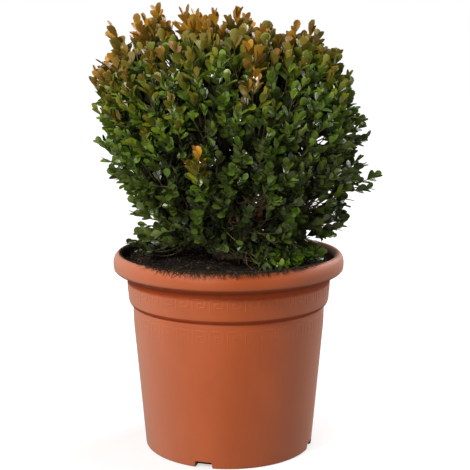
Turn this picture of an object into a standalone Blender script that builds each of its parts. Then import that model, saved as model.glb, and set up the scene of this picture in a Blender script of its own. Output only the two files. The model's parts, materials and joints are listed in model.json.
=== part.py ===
"""Potted boxwood ball: a clipped box plant in a moulded, terracotta coloured pot.

Metres, +Z up. The origin is the centre of the pot's flat underside, and -Y is the front.
The plant is a short main stem with a root flare, boughs that rise in the bare middle of the
crown, and thirteen masses of foliage that meet as one clipped ball.
"""

import math

import bmesh
import bpy
import numpy as np
from mathutils import Matrix, Vector
from mathutils.geometry import intersect_point_line

# Pot
POT_SEGMENTS = 44
FOOT_RADIUS = 0.0884
FOOT_ROUNDING = 0.0022
WALL = 0.003
BASE_THICKNESS = 0.0035
BODY_SHOULDER_RADIUS = 0.0995
BODY_SHOULDER = 0.130
BODY_TOP_RADIUS = 0.1001
BODY_TOP = 0.1520
STEP_HEIGHT = 0.0070
BAND_RADIUS = 0.1048
BAND_TOP_RADIUS = 0.1061
BAND_TOP = 0.1800
LIP_CROWN_RADIUS = 0.1146
LIP_WIDEST = 0.1955
LIP_CROWN_REACH = 0.0054
LIP_CROWN_RISE = 0.0103
LIP_CROWN_ANGLES = (158.0, 125.0, 90.0, 58.0, 28.0, 0.0)
LIP_UNDERCUT = ((-0.0008, -0.0064), (-0.0035, -0.0086), (-0.0088, -0.0116), (-0.0126, -0.0131))
LIP_FLARE_TOP = 0.1900
NOTCH_WIDTH = 0.020
NOTCH_HEIGHT = 0.0068
NOTCH_DEPTH = 0.012
NOTCH_TOP_SHARE = 0.86
NOTCH_TURN = -106.5

# Potting soil
GAP = 0.0003
SOIL_TOP = 0.2000
SOIL_EDGE = 0.1980
SOIL_SHOULDER = 0.014
SOIL_FLAT_RADIUS = 0.066

# Crown outline: a rounded barrel that leans a little to the left as it rises
CROWN_MIDDLE = 0.335
CROWN_RADIUS = 0.1315
CROWN_RISE = 0.1150
CROWN_DROP = 0.160
UPPER_SQUARENESS = 2.75
LOWER_SQUARENESS = 2.0
CROWN_LEAN = -0.13
CROWN_SHIFT = 0.0015
LEAF_OVERHANG = 0.012
CORE_DEPTH = 0.0255

# Masses of foliage: one on top, and two rings of six that interlock
RING_COUNT = 6
RING_RADIUS = 0.092
UPPER_RING_HEIGHT = 0.362
LOWER_RING_HEIGHT = 0.262
TOP_MASS_HEIGHT = 0.430
UPPER_RING_TURN = -60.0
LOWER_RING_TURN = -90.0
UPPER_HOLLOW = 0.042
LOWER_HOLLOW = 0.037
TOP_HOLLOW_HEIGHT = 0.385
MASS_MARGIN = 0.0007
CLEFT_MARGIN = 0.0068
CORE_FLOOR = 0.216
CORE_SUBDIVISIONS = 3
CORE_WELD = 0.00002
CORE_SUNK = 0.003
RIM_FLOOR = 0.2130
SOIL_FLOOR = 0.2035
RIM_INNER_RADIUS = 0.090

# Stems
STEM_BEVEL_RESOLUTION = 5
BOUGH_BEVEL_RESOLUTION = 1
MAIN_STEM_HEIGHT = 0.040
MAIN_STEM_RADIUS = 0.0095
ROOT_FLARE_RADIUS = 0.0165
ROOT_FLARE_HEIGHT = 0.014
MAIN_STEM_LEAN = -0.10
BOUGH_RADIUS = 0.0036
BOUGH_TIP_SHARE = 0.62
BOUGH_GAP = 0.0001
LEADER_RADIUS = 0.0046
SIDE_STEM_RADIUS = 0.0030
SIDE_STEM_FOOT = 0.042
SIDE_STEM_TOP = 0.300
SIDE_STEM_STRAIGHT_FOOT = 0.006
BOUGH_POINTS = 9
BOUGH_STRAIGHT_END = 0.004
BOUGH_SHORT_OF_MASS = 0.003
UPPER_TIP_HEIGHT = 0.343
LOWER_TIP_HEIGHT = 0.247

# Shoots and leaves
SEED = 41
SHOOT_CANDIDATES = 900
SHOOT_SPACING = 0.0265
SHOOT_LENGTH = 0.032
SHOOT_SHARES = (1.0, 0.8, 0.6)
SHOOT_TIP_DEPTH = (0.007, 0.014)
SHOOT_RADIUS = 0.0016
SHOOT_TIP_SHARE = 0.55
SHOOT_WANDER = 0.22
SHOOT_SHY_OF_BORDER = 0.018
SHYNESS = 0.25
STRAY_SHOOTS = (
    (Vector((0.1435, -0.012, 0.281)), Vector((0.95, -0.05, 0.10))),
    (Vector((-0.066, -0.012, 0.440)), Vector((-0.10, -0.05, 1.0))),
)
STRAY_REACH = 0.026
FEWEST_LEAVES = 2
LEAF_LENGTH = 0.0265
LEAF_WIDTH = 0.0180
LEAF_KEEL = 0.0011
LEAF_PLACES = (0.92, 0.72)
LEAF_OFF_AXIS = 0.0003
LEAF_OPENINGS = (38.0, 66.0)
LEAF_ROLLS = (0.0, 25.0, -25.0, 50.0, -50.0, 75.0, -75.0)
LEAF_APART = 0.016
LIMB_CLEARANCE = 0.0015
WELD = 5e-6
MOST_UNIONS = 12
LEAF_ATTEMPTS = 4

TERRACOTTA = (0.42, 0.115, 0.048)
PEAT = (0.012, 0.008, 0.006)
BARK = (0.16, 0.085, 0.045)
LEAF_GREEN = (0.035, 0.085, 0.012)
LEAF_BRONZE = (0.22, 0.095, 0.012)

UP = Vector((0.0, 0.0, 1.0))


def clear_scene():
    for obj in list(bpy.data.objects):
        bpy.data.objects.remove(obj)


def new_collection(name, hidden=False):
    made = bpy.data.collections.new(name)
    bpy.context.scene.collection.children.link(made)
    made.hide_render = hidden
    return made


def plain_material(name, colour, roughness):
    made = bpy.data.materials.new(name)
    made.use_nodes = True
    shader = made.node_tree.nodes["Principled BSDF"]
    shader.inputs["Base Color"].default_value = (*colour, 1.0)
    shader.inputs["Roughness"].default_value = roughness
    shader.inputs["Metallic"].default_value = 0.0
    return made


def mesh_object(name, bm, collection, material=None):
    mesh = bpy.data.meshes.new(name)
    bm.to_mesh(mesh)
    bm.free()
    if material:
        mesh.materials.append(material)
    obj = bpy.data.objects.new(name, mesh)
    collection.objects.link(obj)
    return obj


def apply_modifiers(obj):
    """Gives obj the mesh that its modifiers make, and removes them."""
    bpy.context.view_layer.update()
    graph = bpy.context.evaluated_depsgraph_get()
    finished = bpy.data.meshes.new_from_object(obj.evaluated_get(graph))
    obj.modifiers.clear()
    obj.data = finished


def turned(name, profile, collection, material):
    """A profile of (radius, height) turned about Z. It runs outwards inside and down outside."""
    bm = bmesh.new()
    points = [bm.verts.new((radius, 0.0, height)) for radius, height in profile]
    for first, second in zip(points, points[1:]):
        bm.edges.new((first, second))
    obj = mesh_object(name, bm, collection, material)
    screw = obj.modifiers.new("turn", "SCREW")
    screw.steps = POT_SEGMENTS
    screw.render_steps = POT_SEGMENTS
    screw.use_merge_vertices = True
    screw.merge_threshold = 1e-5
    return obj


def lip_section():
    """The rolled lip: an oval crown from inside to outside, then a corner and a sloping undercut."""
    for degrees in LIP_CROWN_ANGLES:
        angle = math.radians(degrees)
        yield (
            LIP_CROWN_RADIUS + LIP_CROWN_REACH * math.cos(angle),
            LIP_WIDEST + LIP_CROWN_RISE * math.sin(angle),
        )
    widest = LIP_CROWN_RADIUS + LIP_CROWN_REACH
    for inward, down in LIP_UNDERCUT:
        yield (widest + inward, LIP_WIDEST + down)


def lip_inner_radius():
    """The inside of the lip, where the wall has flared outwards."""
    return LIP_CROWN_RADIUS + LIP_CROWN_REACH * math.cos(math.radians(LIP_CROWN_ANGLES[0]))


def pot_profile():
    yield (0.0, BASE_THICKNESS)
    yield (FOOT_RADIUS - WALL, BASE_THICKNESS)
    yield (BODY_SHOULDER_RADIUS - WALL, BODY_SHOULDER)
    yield (BODY_TOP_RADIUS - WALL, BODY_TOP)
    yield (BAND_RADIUS - WALL, BODY_TOP + STEP_HEIGHT)
    yield (BAND_TOP_RADIUS - WALL, BAND_TOP)
    yield (lip_inner_radius(), LIP_FLARE_TOP)
    yield from lip_section()
    yield (BAND_TOP_RADIUS, BAND_TOP)
    yield (BAND_RADIUS, BODY_TOP + STEP_HEIGHT)
    yield (BAND_RADIUS - 0.0010, BODY_TOP + STEP_HEIGHT * 0.60)
    yield (BAND_RADIUS - 0.0022, BODY_TOP + STEP_HEIGHT * 0.33)
    yield (BODY_TOP_RADIUS, BODY_TOP)
    yield (BODY_SHOULDER_RADIUS, BODY_SHOULDER)
    yield (FOOT_RADIUS, FOOT_ROUNDING)
    yield (FOOT_RADIUS - FOOT_ROUNDING, 0.0)
    yield (0.0, 0.0)


def notch_cutter(turn, collection):
    """A wedge-sided block that cuts one drainage notch through the foot of the wall."""
    bm = bmesh.new()
    bmesh.ops.create_cube(bm, size=1.0)
    length = 2.0 * NOTCH_DEPTH
    for vert in bm.verts:
        share = NOTCH_TOP_SHARE if vert.co.z > 0 else 1.0
        vert.co.x *= length
        vert.co.y *= NOTCH_WIDTH * share
        vert.co.z = NOTCH_HEIGHT if vert.co.z > 0 else -NOTCH_HEIGHT
    bmesh.ops.translate(bm, verts=bm.verts, vec=(FOOT_RADIUS, 0.0, 0.0))
    cutter = mesh_object(f"notch_cutter_{turn:.0f}", bm, collection)
    cutter.rotation_euler.z = math.radians(turn)
    cutter.hide_render = True
    cutter.display_type = "WIRE"
    return cutter


def make_pot(parts, cutters, material):
    pot = turned("pot", pot_profile(), parts, material)
    for quarter in range(4):
        cut = pot.modifiers.new(f"notch_{quarter}", "BOOLEAN")
        cut.operation = "DIFFERENCE"
        cut.object = notch_cutter(NOTCH_TURN + 90.0 * quarter, cutters)
    return pot


def make_soil(parts, material):
    """The compost that fills the pot, with a gap to its wall, and a flat middle for the stems."""
    inside = WALL + GAP
    rim = lip_inner_radius() - GAP
    profile = [
        (0.0, SOIL_TOP),
        (SOIL_FLAT_RADIUS, SOIL_TOP),
        (rim - SOIL_SHOULDER, SOIL_EDGE + 0.0010),
        (rim, SOIL_EDGE),
        (rim, LIP_FLARE_TOP),
        (BAND_TOP_RADIUS - inside, BAND_TOP),
        (BAND_RADIUS - inside, BODY_TOP + STEP_HEIGHT),
        (BODY_TOP_RADIUS - inside, BODY_TOP),
        (BODY_SHOULDER_RADIUS - inside, BODY_SHOULDER),
        (FOOT_RADIUS - inside, BASE_THICKNESS + GAP),
        (0.0, BASE_THICKNESS + GAP),
    ]
    turned("potting_soil", profile, parts, material)


def limb(name, points, radii, collection, material):
    """One tapering limb: a poly curve through points, with a radius at each, and filled caps."""
    data = bpy.data.curves.new(name, "CURVE")
    data.dimensions = "3D"
    data.bevel_depth = 1.0
    thick = max(radii) > LEADER_RADIUS
    data.bevel_resolution = STEM_BEVEL_RESOLUTION if thick else BOUGH_BEVEL_RESOLUTION
    data.use_fill_caps = True
    data.materials.append(material)
    spline = data.splines.new("POLY")
    spline.points.add(len(points) - 1)
    for place, point, radius in zip(spline.points, points, radii):
        place.co = (*point, 1.0)
        place.radius = radius
    obj = bpy.data.objects.new(name, data)
    collection.objects.link(obj)
    return obj


def smooth_path(knots, count):
    """Count points along a Bezier curve through four control points."""
    a, b, c, d = (Vector(knot) for knot in knots)
    for i in range(count):
        t = i / (count - 1)
        s = 1.0 - t
        yield a * s**3 + b * (3 * s * s * t) + c * (3 * s * t * t) + d * t**3


def lean_at(height):
    """How far the crown's middle has moved along X at a height."""
    return CROWN_SHIFT + CROWN_LEAN * (height - CROWN_MIDDLE)


def bearing(turn):
    angle = math.radians(turn)
    return Vector((math.cos(angle), math.sin(angle), 0.0))


def crown_level(point, inset=0.0):
    """Under 1 inside the crown's outline, 1 on it, over 1 outside. An inset shrinks the outline."""
    radius = math.hypot(point.x - lean_at(point.z), point.y) / (CROWN_RADIUS - inset)
    rise = point.z - CROWN_MIDDLE
    power = UPPER_SQUARENESS if rise > 0 else LOWER_SQUARENESS
    span = (CROWN_RISE if rise > 0 else CROWN_DROP) - inset
    return (radius**power + (abs(rise) / span) ** power) ** (1.0 / power)


def crown_surface(direction, inset=0.0):
    """The outline's point in a direction from the middle of the crown."""
    near, far = 0.0, 0.4
    middle = Vector((0.0, 0.0, CROWN_MIDDLE))
    for _ in range(28):
        half = 0.5 * (near + far)
        if crown_level(middle + direction * half, inset) < 1.0:
            near = half
        else:
            far = half
    return middle + direction * near


def crown_normal(point):
    step = 1e-4
    here = crown_level(point)
    slope = [crown_level(point + Vector(axis) * step) - here for axis in np.eye(3)]
    return Vector(slope).normalized()


class Mass:
    """A mass of foliage: the space nearer to its own seed than to any other, less the hollow."""

    def __init__(self, name, seed, hollow_normal, hollow_at, limb_tip):
        self.name = name
        self.seed = seed
        self.limb_tip = limb_tip
        self.planes = [(hollow_normal, hollow_at)]

    def border(self, others, cleft):
        """Adds the planes halfway to the other seeds, with a wider margin beside the cleft."""
        for other in others:
            if other is self:
                continue
            normal = (other.seed - self.seed).normalized()
            halfway = normal.dot(0.5 * (other.seed + self.seed))
            margin = CLEFT_MARGIN if {self.name, other.name} == cleft else MASS_MARGIN
            self.planes.append((-normal, -(halfway - margin)))

    def holds(self, point, reach=LEAF_OVERHANG):
        """Whether a point is in this mass's own space, within reach of the clipped outline."""
        if any(normal.dot(point) < least for normal, least in self.planes):
            return False
        radius = math.hypot(point.x, point.y)
        floor = RIM_FLOOR if radius > RIM_INNER_RADIUS else SOIL_FLOOR
        return point.z > floor and crown_level(point, -reach) < 1.0


def ring(place, height, turn, hollow, tip_of):
    for i in range(RING_COUNT):
        angle = turn + i * 360.0 / RING_COUNT
        out = bearing(angle)
        shift = Vector((lean_at(height), 0.0, 0.0))
        seed = out * RING_RADIUS + UP * height + shift
        name = f"foliage_{place}_{compass(angle)}"
        yield Mass(name, seed, out, hollow, tip_of(out))


def compass(angle):
    """The side of the plant that a bearing points to, as seen from the front."""
    sides = {-90: "front", -60: "front_right", -30: "front_right_side", 0: "right", 30: "back_right_side"}
    sides |= {60: "back_right", 90: "back", 120: "back_left", 150: "back_left_side", 180: "left"}
    sides |= {210: "front_left_side", 240: "front_left"}
    return sides[round(angle)]


def upper_tip(out):
    return out * (UPPER_HOLLOW - BOUGH_SHORT_OF_MASS) + UP * UPPER_TIP_HEIGHT


def lower_tip(out):
    return out * (LOWER_HOLLOW - BOUGH_SHORT_OF_MASS) + UP * LOWER_TIP_HEIGHT


def make_masses():
    top_seed = Vector((lean_at(TOP_MASS_HEIGHT), 0.0, TOP_MASS_HEIGHT))
    top_tip = Vector((lean_at(TOP_HOLLOW_HEIGHT), 0.0, TOP_HOLLOW_HEIGHT - 0.004))
    top = Mass("foliage_top", top_seed, UP, TOP_HOLLOW_HEIGHT, top_tip)
    upper = list(ring("upper", UPPER_RING_HEIGHT, UPPER_RING_TURN, UPPER_HOLLOW, upper_tip))
    lower = list(ring("lower", LOWER_RING_HEIGHT, LOWER_RING_TURN, LOWER_HOLLOW, lower_tip))
    upper[0].limb_tip = cleft_at(SIDE_STEM_FOOT + 0.008, SIDE_STEM_TOP)
    masses = [top, *upper, *lower]
    for mass in masses:
        mass.border(masses, {lower[0].name, lower[1].name})
    return top, upper, lower


def main_stem_path():
    top = SOIL_TOP + MAIN_STEM_HEIGHT
    foot = SOIL_TOP + GAP
    heights = [foot, foot + 0.35 * ROOT_FLARE_HEIGHT, foot + ROOT_FLARE_HEIGHT]
    heights += [foot + ROOT_FLARE_HEIGHT * 1.9, top]
    leans = [0.0, 0.0, 0.0, MAIN_STEM_LEAN * ROOT_FLARE_HEIGHT * 0.9]
    leans.append(leans[-1] + MAIN_STEM_LEAN * (heights[-1] - heights[-2]))
    return [Vector((lean, 0.0, height)) for lean, height in zip(leans, heights)]


def main_stem_radii():
    flared = [ROOT_FLARE_RADIUS, ROOT_FLARE_RADIUS * 0.78, MAIN_STEM_RADIUS * 1.12]
    return [*flared, MAIN_STEM_RADIUS, MAIN_STEM_RADIUS * 0.93]


def main_stem_at(height):
    """The middle and the radius of the main stem at a height."""
    path = main_stem_path()
    heights = [point.z for point in path]
    x = float(np.interp(height, heights, [point.x for point in path]))
    return Vector((x, 0.0, height)), float(np.interp(height, heights, main_stem_radii()))


def cleft_at(reach, height):
    """A place in the cleft between two lower masses at the front right."""
    shift = Vector((lean_at(LOWER_RING_HEIGHT), 0.0, 0.0))
    return shift + bearing(UPPER_RING_TURN) * reach + UP * height


def side_stem_path(mass):
    """A second stem, from the soil up the cleft and into an upper mass."""
    foot = cleft_at(SIDE_STEM_FOOT, SOIL_TOP + GAP)
    bend = cleft_at(SIDE_STEM_FOOT - 0.003, 0.235)
    return [foot, *path_to(mass, foot + UP * SIDE_STEM_STRAIGHT_FOOT, bend, 0.03)]


def hub_of(mass):
    """The middle of a mass, from which its twigs branch: between its seed and its limb's tip."""
    return mass.seed.lerp(mass.limb_tip, 0.4)


def inward_of(mass):
    """The direction in which a limb's tip points into its mass."""
    return (hub_of(mass) - mass.limb_tip).normalized()


def path_to(mass, start, bend, ease):
    """A limb's path from its start to the tip where its mass takes over, straight at the tip."""
    inward = inward_of(mass)
    last = mass.limb_tip - inward * BOUGH_STRAIGHT_END
    knots = (start, bend, last - inward * ease, last)
    return [*smooth_path(knots, BOUGH_POINTS - 1), mass.limb_tip]


def bough_path(mass, out, start_height, lift):
    """From the side of the main stem, up and out to its mass."""
    rise = (out * 0.006 + UP * lift).normalized()
    middle, radius = main_stem_at(start_height)
    start = middle + out * (radius + BOUGH_GAP + BOUGH_RADIUS * rise.z)
    return path_to(mass, start, start + rise * lift, 0.3 * (mass.limb_tip - start).length)


def taper(count, root_radius, tip_radius):
    return [root_radius + (tip_radius - root_radius) * i / (count - 1) for i in range(count)]


def make_stems(top, upper, lower, parts, material):
    """The main stem, the leader, the side stem and the boughs. Returns their paths and radii."""
    limbs = {}
    stem = main_stem_path()
    limbs["main_stem"] = (stem, main_stem_radii())
    onward = (stem[-1] - stem[-2]).normalized()
    leader_foot = stem[-1] + onward * GAP
    limbs["bough_leader"] = (
        path_to(top, leader_foot, leader_foot + onward * 0.05, 0.05),
        taper(BOUGH_POINTS, LEADER_RADIUS, LEADER_RADIUS * BOUGH_TIP_SHARE),
    )
    limbs["side_stem"] = (
        side_stem_path(upper[0]),
        taper(BOUGH_POINTS + 1, SIDE_STEM_RADIUS, SIDE_STEM_RADIUS * BOUGH_TIP_SHARE),
    )
    stages = ((upper[1:], UPPER_RING_TURN + 60.0, 0.033, 0.050), (lower, LOWER_RING_TURN, 0.018, 0.012))
    for masses, turn, rise, lift in stages:
        for i, mass in enumerate(masses):
            out = bearing(turn + 360.0 / RING_COUNT * i)
            path = bough_path(mass, out, SOIL_TOP + rise, lift)
            name = mass.name.replace("foliage", "bough")
            limbs[name] = (path, taper(BOUGH_POINTS, BOUGH_RADIUS, BOUGH_RADIUS * BOUGH_TIP_SHARE))
    for name, (path, radii) in limbs.items():
        limb(name, path, radii, parts, material)
    return limbs


def core_of(mass, collection):
    """The dense middle of a mass: the crown's inner form, cut to the mass's own space."""
    bm = bmesh.new()
    bmesh.ops.create_icosphere(bm, subdivisions=CORE_SUBDIVISIONS, radius=1.0)
    for vert in bm.verts:
        vert.co = crown_surface(vert.co.normalized(), CORE_DEPTH)
    for normal, least in [*mass.planes, (UP, CORE_FLOOR)]:
        bmesh.ops.bisect_plane(
            bm,
            geom=[*bm.verts, *bm.edges, *bm.faces],
            dist=CORE_WELD,
            plane_co=normal * least,
            plane_no=-normal,
            clear_outer=True,
        )
        rim = [edge for edge in bm.edges if edge.is_boundary]
        if rim:
            bmesh.ops.edgeloop_fill(bm, edges=rim)
    bmesh.ops.recalc_face_normals(bm, faces=bm.faces)
    return mesh_object(f"{mass.name}_core", bm, collection)


def in_core(mass, point):
    """Whether a point is well inside the mass's core."""
    deep = all(normal.dot(point) > least + CORE_SUNK for normal, least in mass.planes)
    return deep and point.z > CORE_FLOOR + CORE_SUNK and crown_level(point, CORE_DEPTH + CORE_SUNK) < 1.0


def twig(start, end, root_radius, tip_radius, collection, name="twig"):
    """A straight three-sided twig, tapering from start to end."""
    bm = bmesh.new()
    along = end - start
    bmesh.ops.create_cone(
        bm, cap_ends=True, segments=3, radius1=root_radius, radius2=tip_radius, depth=along.length
    )
    turn = along.to_track_quat("Z", "Y").to_matrix().to_4x4()
    bmesh.ops.transform(bm, matrix=Matrix.Translation((start + end) / 2) @ turn, verts=bm.verts)
    return mesh_object(name, bm, collection)


def leaf_outline():
    """A blunt, broad leaf blade of five corners, in shares of its length and width."""
    return ((0.0, 0.0), (0.55, 0.5), (0.95, 0.24), (0.95, -0.24), (0.55, -0.5))


def leaf_points(root, along, face):
    """The blade's five corners and the keel on its underside, in world places."""
    across = face.cross(along)
    corners = [
        root + along * (LEAF_LENGTH * x + LEAF_OFF_AXIS) + across * (LEAF_WIDTH * y)
        for x, y in leaf_outline()
    ]
    keel = root + along * (LEAF_LENGTH * 0.42) - face * LEAF_KEEL
    return corners, keel


def leaf(corners, keel, collection):
    """A five-sided cone pressed flat: its foot is the blade, and its point is the keel."""
    bm = bmesh.new()
    bmesh.ops.create_cone(bm, cap_ends=True, segments=5, radius1=1.0, radius2=0.0, depth=1.0)
    foot = sorted((v for v in bm.verts if v.co.z < 0), key=lambda v: math.atan2(v.co.y, v.co.x))
    for vert, corner in zip(foot, corners):
        vert.co = corner
    for vert in bm.verts:
        if vert not in foot:
            vert.co = keel
    bmesh.ops.recalc_face_normals(bm, faces=bm.faces)
    return mesh_object("leaf", bm, collection)


def clear_of_limbs(points, limbs):
    for path, radii in limbs.values():
        for (start, end), radius in zip(zip(path, path[1:]), radii):
            for point in points:
                nearest, share = intersect_point_line(point, start, end)
                nearest = start.lerp(end, min(max(share, 0.0), 1.0))
                if (point - nearest).length < radius + LIMB_CLEARANCE:
                    return False
    return True


def shoot_directions():
    """Directions from the crown's middle, evenly spread by the golden angle."""
    golden = math.pi * (3.0 - math.sqrt(5.0))
    for i in range(SHOOT_CANDIDATES):
        height = 1.0 - 2.0 * (i + 0.5) / SHOOT_CANDIDATES
        level = math.sqrt(1.0 - height * height)
        yield Vector((level * math.cos(golden * i), level * math.sin(golden * i), height))


def grow_leaves(mass, foot, tip, limbs, taken, reach, rng):
    """Opposite pairs of leaves down a shoot, each pair turned a quarter from the one above.

    Returns the corners and keel of each leaf that fits in the mass's own space.
    """
    axis = (tip - foot).normalized()
    side = axis.orthogonal().normalized()
    grown = []
    start_roll = rng.uniform(0.0, 360.0)
    for level, share in enumerate(LEAF_PLACES):
        root = foot.lerp(tip, share)
        opening = math.radians(LEAF_OPENINGS[level])
        for half_turn in (0.0, 180.0):
            for roll in LEAF_ROLLS:
                angle = math.radians(start_roll + 90.0 * level + half_turn + roll)
                out = Matrix.Rotation(angle, 3, axis) @ side
                along = (axis * math.cos(opening) + out * math.sin(opening)).normalized()
                face = (axis - along * axis.dot(along)).normalized()
                corners, keel = leaf_points(root, along, face)
                middle = root + along * LEAF_LENGTH * 0.6
                if not all(mass.holds(point, reach) for point in [*corners, keel]):
                    continue
                if not clear_of_limbs([*corners, middle], limbs):
                    continue
                if any((middle - other).length < LEAF_APART for other in taken):
                    continue
                grown.append((corners, keel))
                taken.append(middle)
                break
    return grown


def leaf_and_twig_pieces(mass, hub, limbs, shoots, pieces, rng):
    """Adds a mass's stem, and its shoots with their leaves, to a collection."""
    twig(mass.limb_tip + inward_of(mass) * GAP, hub, 0.0021, 0.0018, pieces, "stem")
    taken = []
    tips = []
    for tip, axis, reach in shoots:
        if any((tip - other).length < SHOOT_SPACING for other in tips):
            continue
        axis = shy_of_borders(mass, tip, axis)
        foot = shoot_foot(mass, tip, axis, reach)
        if not foot or not clear_of_limbs([tip, foot.lerp(tip, 0.5), foot], limbs):
            continue
        leaves = grow_leaves(mass, foot, tip, limbs, taken, reach, rng)
        if len(leaves) < FEWEST_LEAVES:
            continue
        tips.append(tip)
        twig(foot, tip, SHOOT_RADIUS, SHOOT_RADIUS * SHOOT_TIP_SHARE, pieces)
        if not in_core(mass, foot):
            twig(hub.lerp(foot, 0.4), foot.lerp(tip, 0.05), SHOOT_RADIUS, SHOOT_RADIUS, pieces)
        for corners, keel in leaves:
            leaf(corners, keel, pieces)


def shy_of_borders(mass, tip, axis):
    """Turns a shoot away from the borders that its tip is near, as crowded shoots do."""
    for normal, least in mass.planes:
        near = 1.0 - (normal.dot(tip) - least) / SHOOT_SHY_OF_BORDER
        if near > 0.0:
            axis = axis + normal * near * SHYNESS
    return axis.normalized()


def shoot_foot(mass, tip, axis, reach):
    """Where a shoot starts: far enough in for its leaves, and within the mass's own space."""
    if not mass.holds(tip, reach):
        return None
    for share in SHOOT_SHARES:
        foot = tip - axis * SHOOT_LENGTH * share
        if mass.holds(foot, -2.0 * SHOOT_RADIUS):
            return foot
    return None


def fused(mass, hub, limbs, parts, material, rng, shoots):
    """Core, stem, twigs and leaves of one mass, joined by one union. Returns its leaf count."""
    pieces = new_collection(f"{mass.name}_pieces", hidden=True)
    body = core_of(mass, parts)
    body.name = mass.name
    body.data.materials.append(material)
    leaf_and_twig_pieces(mass, hub, limbs, shoots, pieces, rng)
    core = body.data
    for attempt in range(MOST_UNIONS):
        body.data = core.copy()
        union = body.modifiers.new("fuse", "BOOLEAN")
        union.operation = "UNION"
        union.operand_type = "COLLECTION"
        union.collection = pieces
        apply_modifiers(body)
        faults = keep_outer_shell(body)
        if not faults:
            break
        drop_pieces_at(faults, pieces, ("leaf",) if attempt < LEAF_ATTEMPTS else ("leaf", "twig"))
    else:
        raise RuntimeError(f"{mass.name} doesn't fuse into one closed surface")
    leaves = sum(piece.name.startswith("leaf") for piece in pieces.objects)
    for piece in list(pieces.objects):
        bpy.data.objects.remove(piece)
    bpy.data.collections.remove(pieces)
    return leaves


def drop_pieces_at(faults, pieces, kinds):
    """Takes away the leaf or twig nearest to each place where the surface touches itself."""
    middles = {}
    for piece in pieces.objects:
        if piece.name.split(".")[0] in kinds:
            corners = [vert.co for vert in piece.data.vertices]
            middles[piece] = sum(corners, Vector()) / len(corners)
    worst = {min(middles, key=lambda piece: (middles[piece] - fault).length) for fault in faults}
    for piece in worst:
        bpy.data.objects.remove(piece)


def keep_outer_shell(obj):
    """Keeps the largest shell, so that loose scraps go and sealed hollows are filled.

    Returns the places where the surface touches itself.
    """
    bm = bmesh.new()
    bm.from_mesh(obj.data)
    bmesh.ops.remove_doubles(bm, verts=bm.verts, dist=WELD)
    bmesh.ops.triangulate(bm, faces=bm.faces)
    left = set(bm.faces)
    shells = []
    while left:
        shell, edge = set(), [left.pop()]
        while edge:
            face = edge.pop()
            shell.add(face)
            for near in (other for side in face.edges for other in side.link_faces):
                if near in left:
                    left.discard(near)
                    edge.append(near)
        shells.append(shell)
    largest = max(shells, key=len)
    scraps = [face for shell in shells if shell is not largest for face in shell]
    bmesh.ops.delete(bm, geom=scraps, context="FACES")
    faults = [(edge.verts[0].co + edge.verts[1].co) / 2 for edge in bm.edges if not edge.is_manifold]
    bm.to_mesh(obj.data)
    bm.free()
    return faults


def shoots_by_mass(masses, rng):
    """Candidate shoots as (tip, axis, reach past the outline), under the mass they are in."""
    shoots = {mass.name: [] for mass in masses}

    def add(tip, axis, reach):
        home = min(masses, key=lambda mass: (mass.seed - tip).length)
        shoots[home.name].append((tip, axis, reach))

    for tip, axis in STRAY_SHOOTS:
        add(tip, axis.normalized(), STRAY_REACH)
    for direction in shoot_directions():
        surface = crown_surface(direction)
        normal = crown_normal(surface)
        wander = Vector(rng.uniform(-1.0, 1.0, 3)) * SHOOT_WANDER
        axis = (normal * 0.8 + UP * 0.38 + wander).normalized()
        add(surface - axis * rng.uniform(*SHOOT_TIP_DEPTH), axis, LEAF_OVERHANG)
    return shoots


def main():
    clear_scene()
    parts = new_collection("potted_boxwood_ball")
    cutters = new_collection("cutters", hidden=True)
    bark = plain_material("bark", BARK, 0.8)
    green = plain_material("leaf_green", LEAF_GREEN, 0.35)
    bronze = plain_material("leaf_bronze", LEAF_BRONZE, 0.35)
    make_pot(parts, cutters, plain_material("terracotta_plastic", TERRACOTTA, 0.5))
    make_soil(parts, plain_material("potting_soil", PEAT, 0.95))
    top, upper, lower = make_masses()
    limbs = make_stems(top, upper, lower, parts, bark)
    masses = [top, *upper, *lower]
    rng = np.random.default_rng(SEED)
    shoots = shoots_by_mass(masses, rng)
    leaves = 0
    for mass in masses:
        material = bronze if mass is top else green
        leaves += fused(mass, hub_of(mass), limbs, parts, material, rng, shoots[mass.name])
    print(leaves, "leaves")


main()
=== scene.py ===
# %% [markdown]
# # A clipped ball of box in a moulded pot
# The solids of this plant already stand in the frame: the pot, the compost, the stems and
# thirteen masses of foliage. Here each of them is dressed. The frame comes first, because every
# later piece is placed in it. The box around the solids is kept, so that nothing outgrows it.

# %% The frame and its box
import json
import math
from collections import namedtuple

import bmesh
import bpy
import numpy as np
from mathutils import Matrix, Vector, noise

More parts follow.
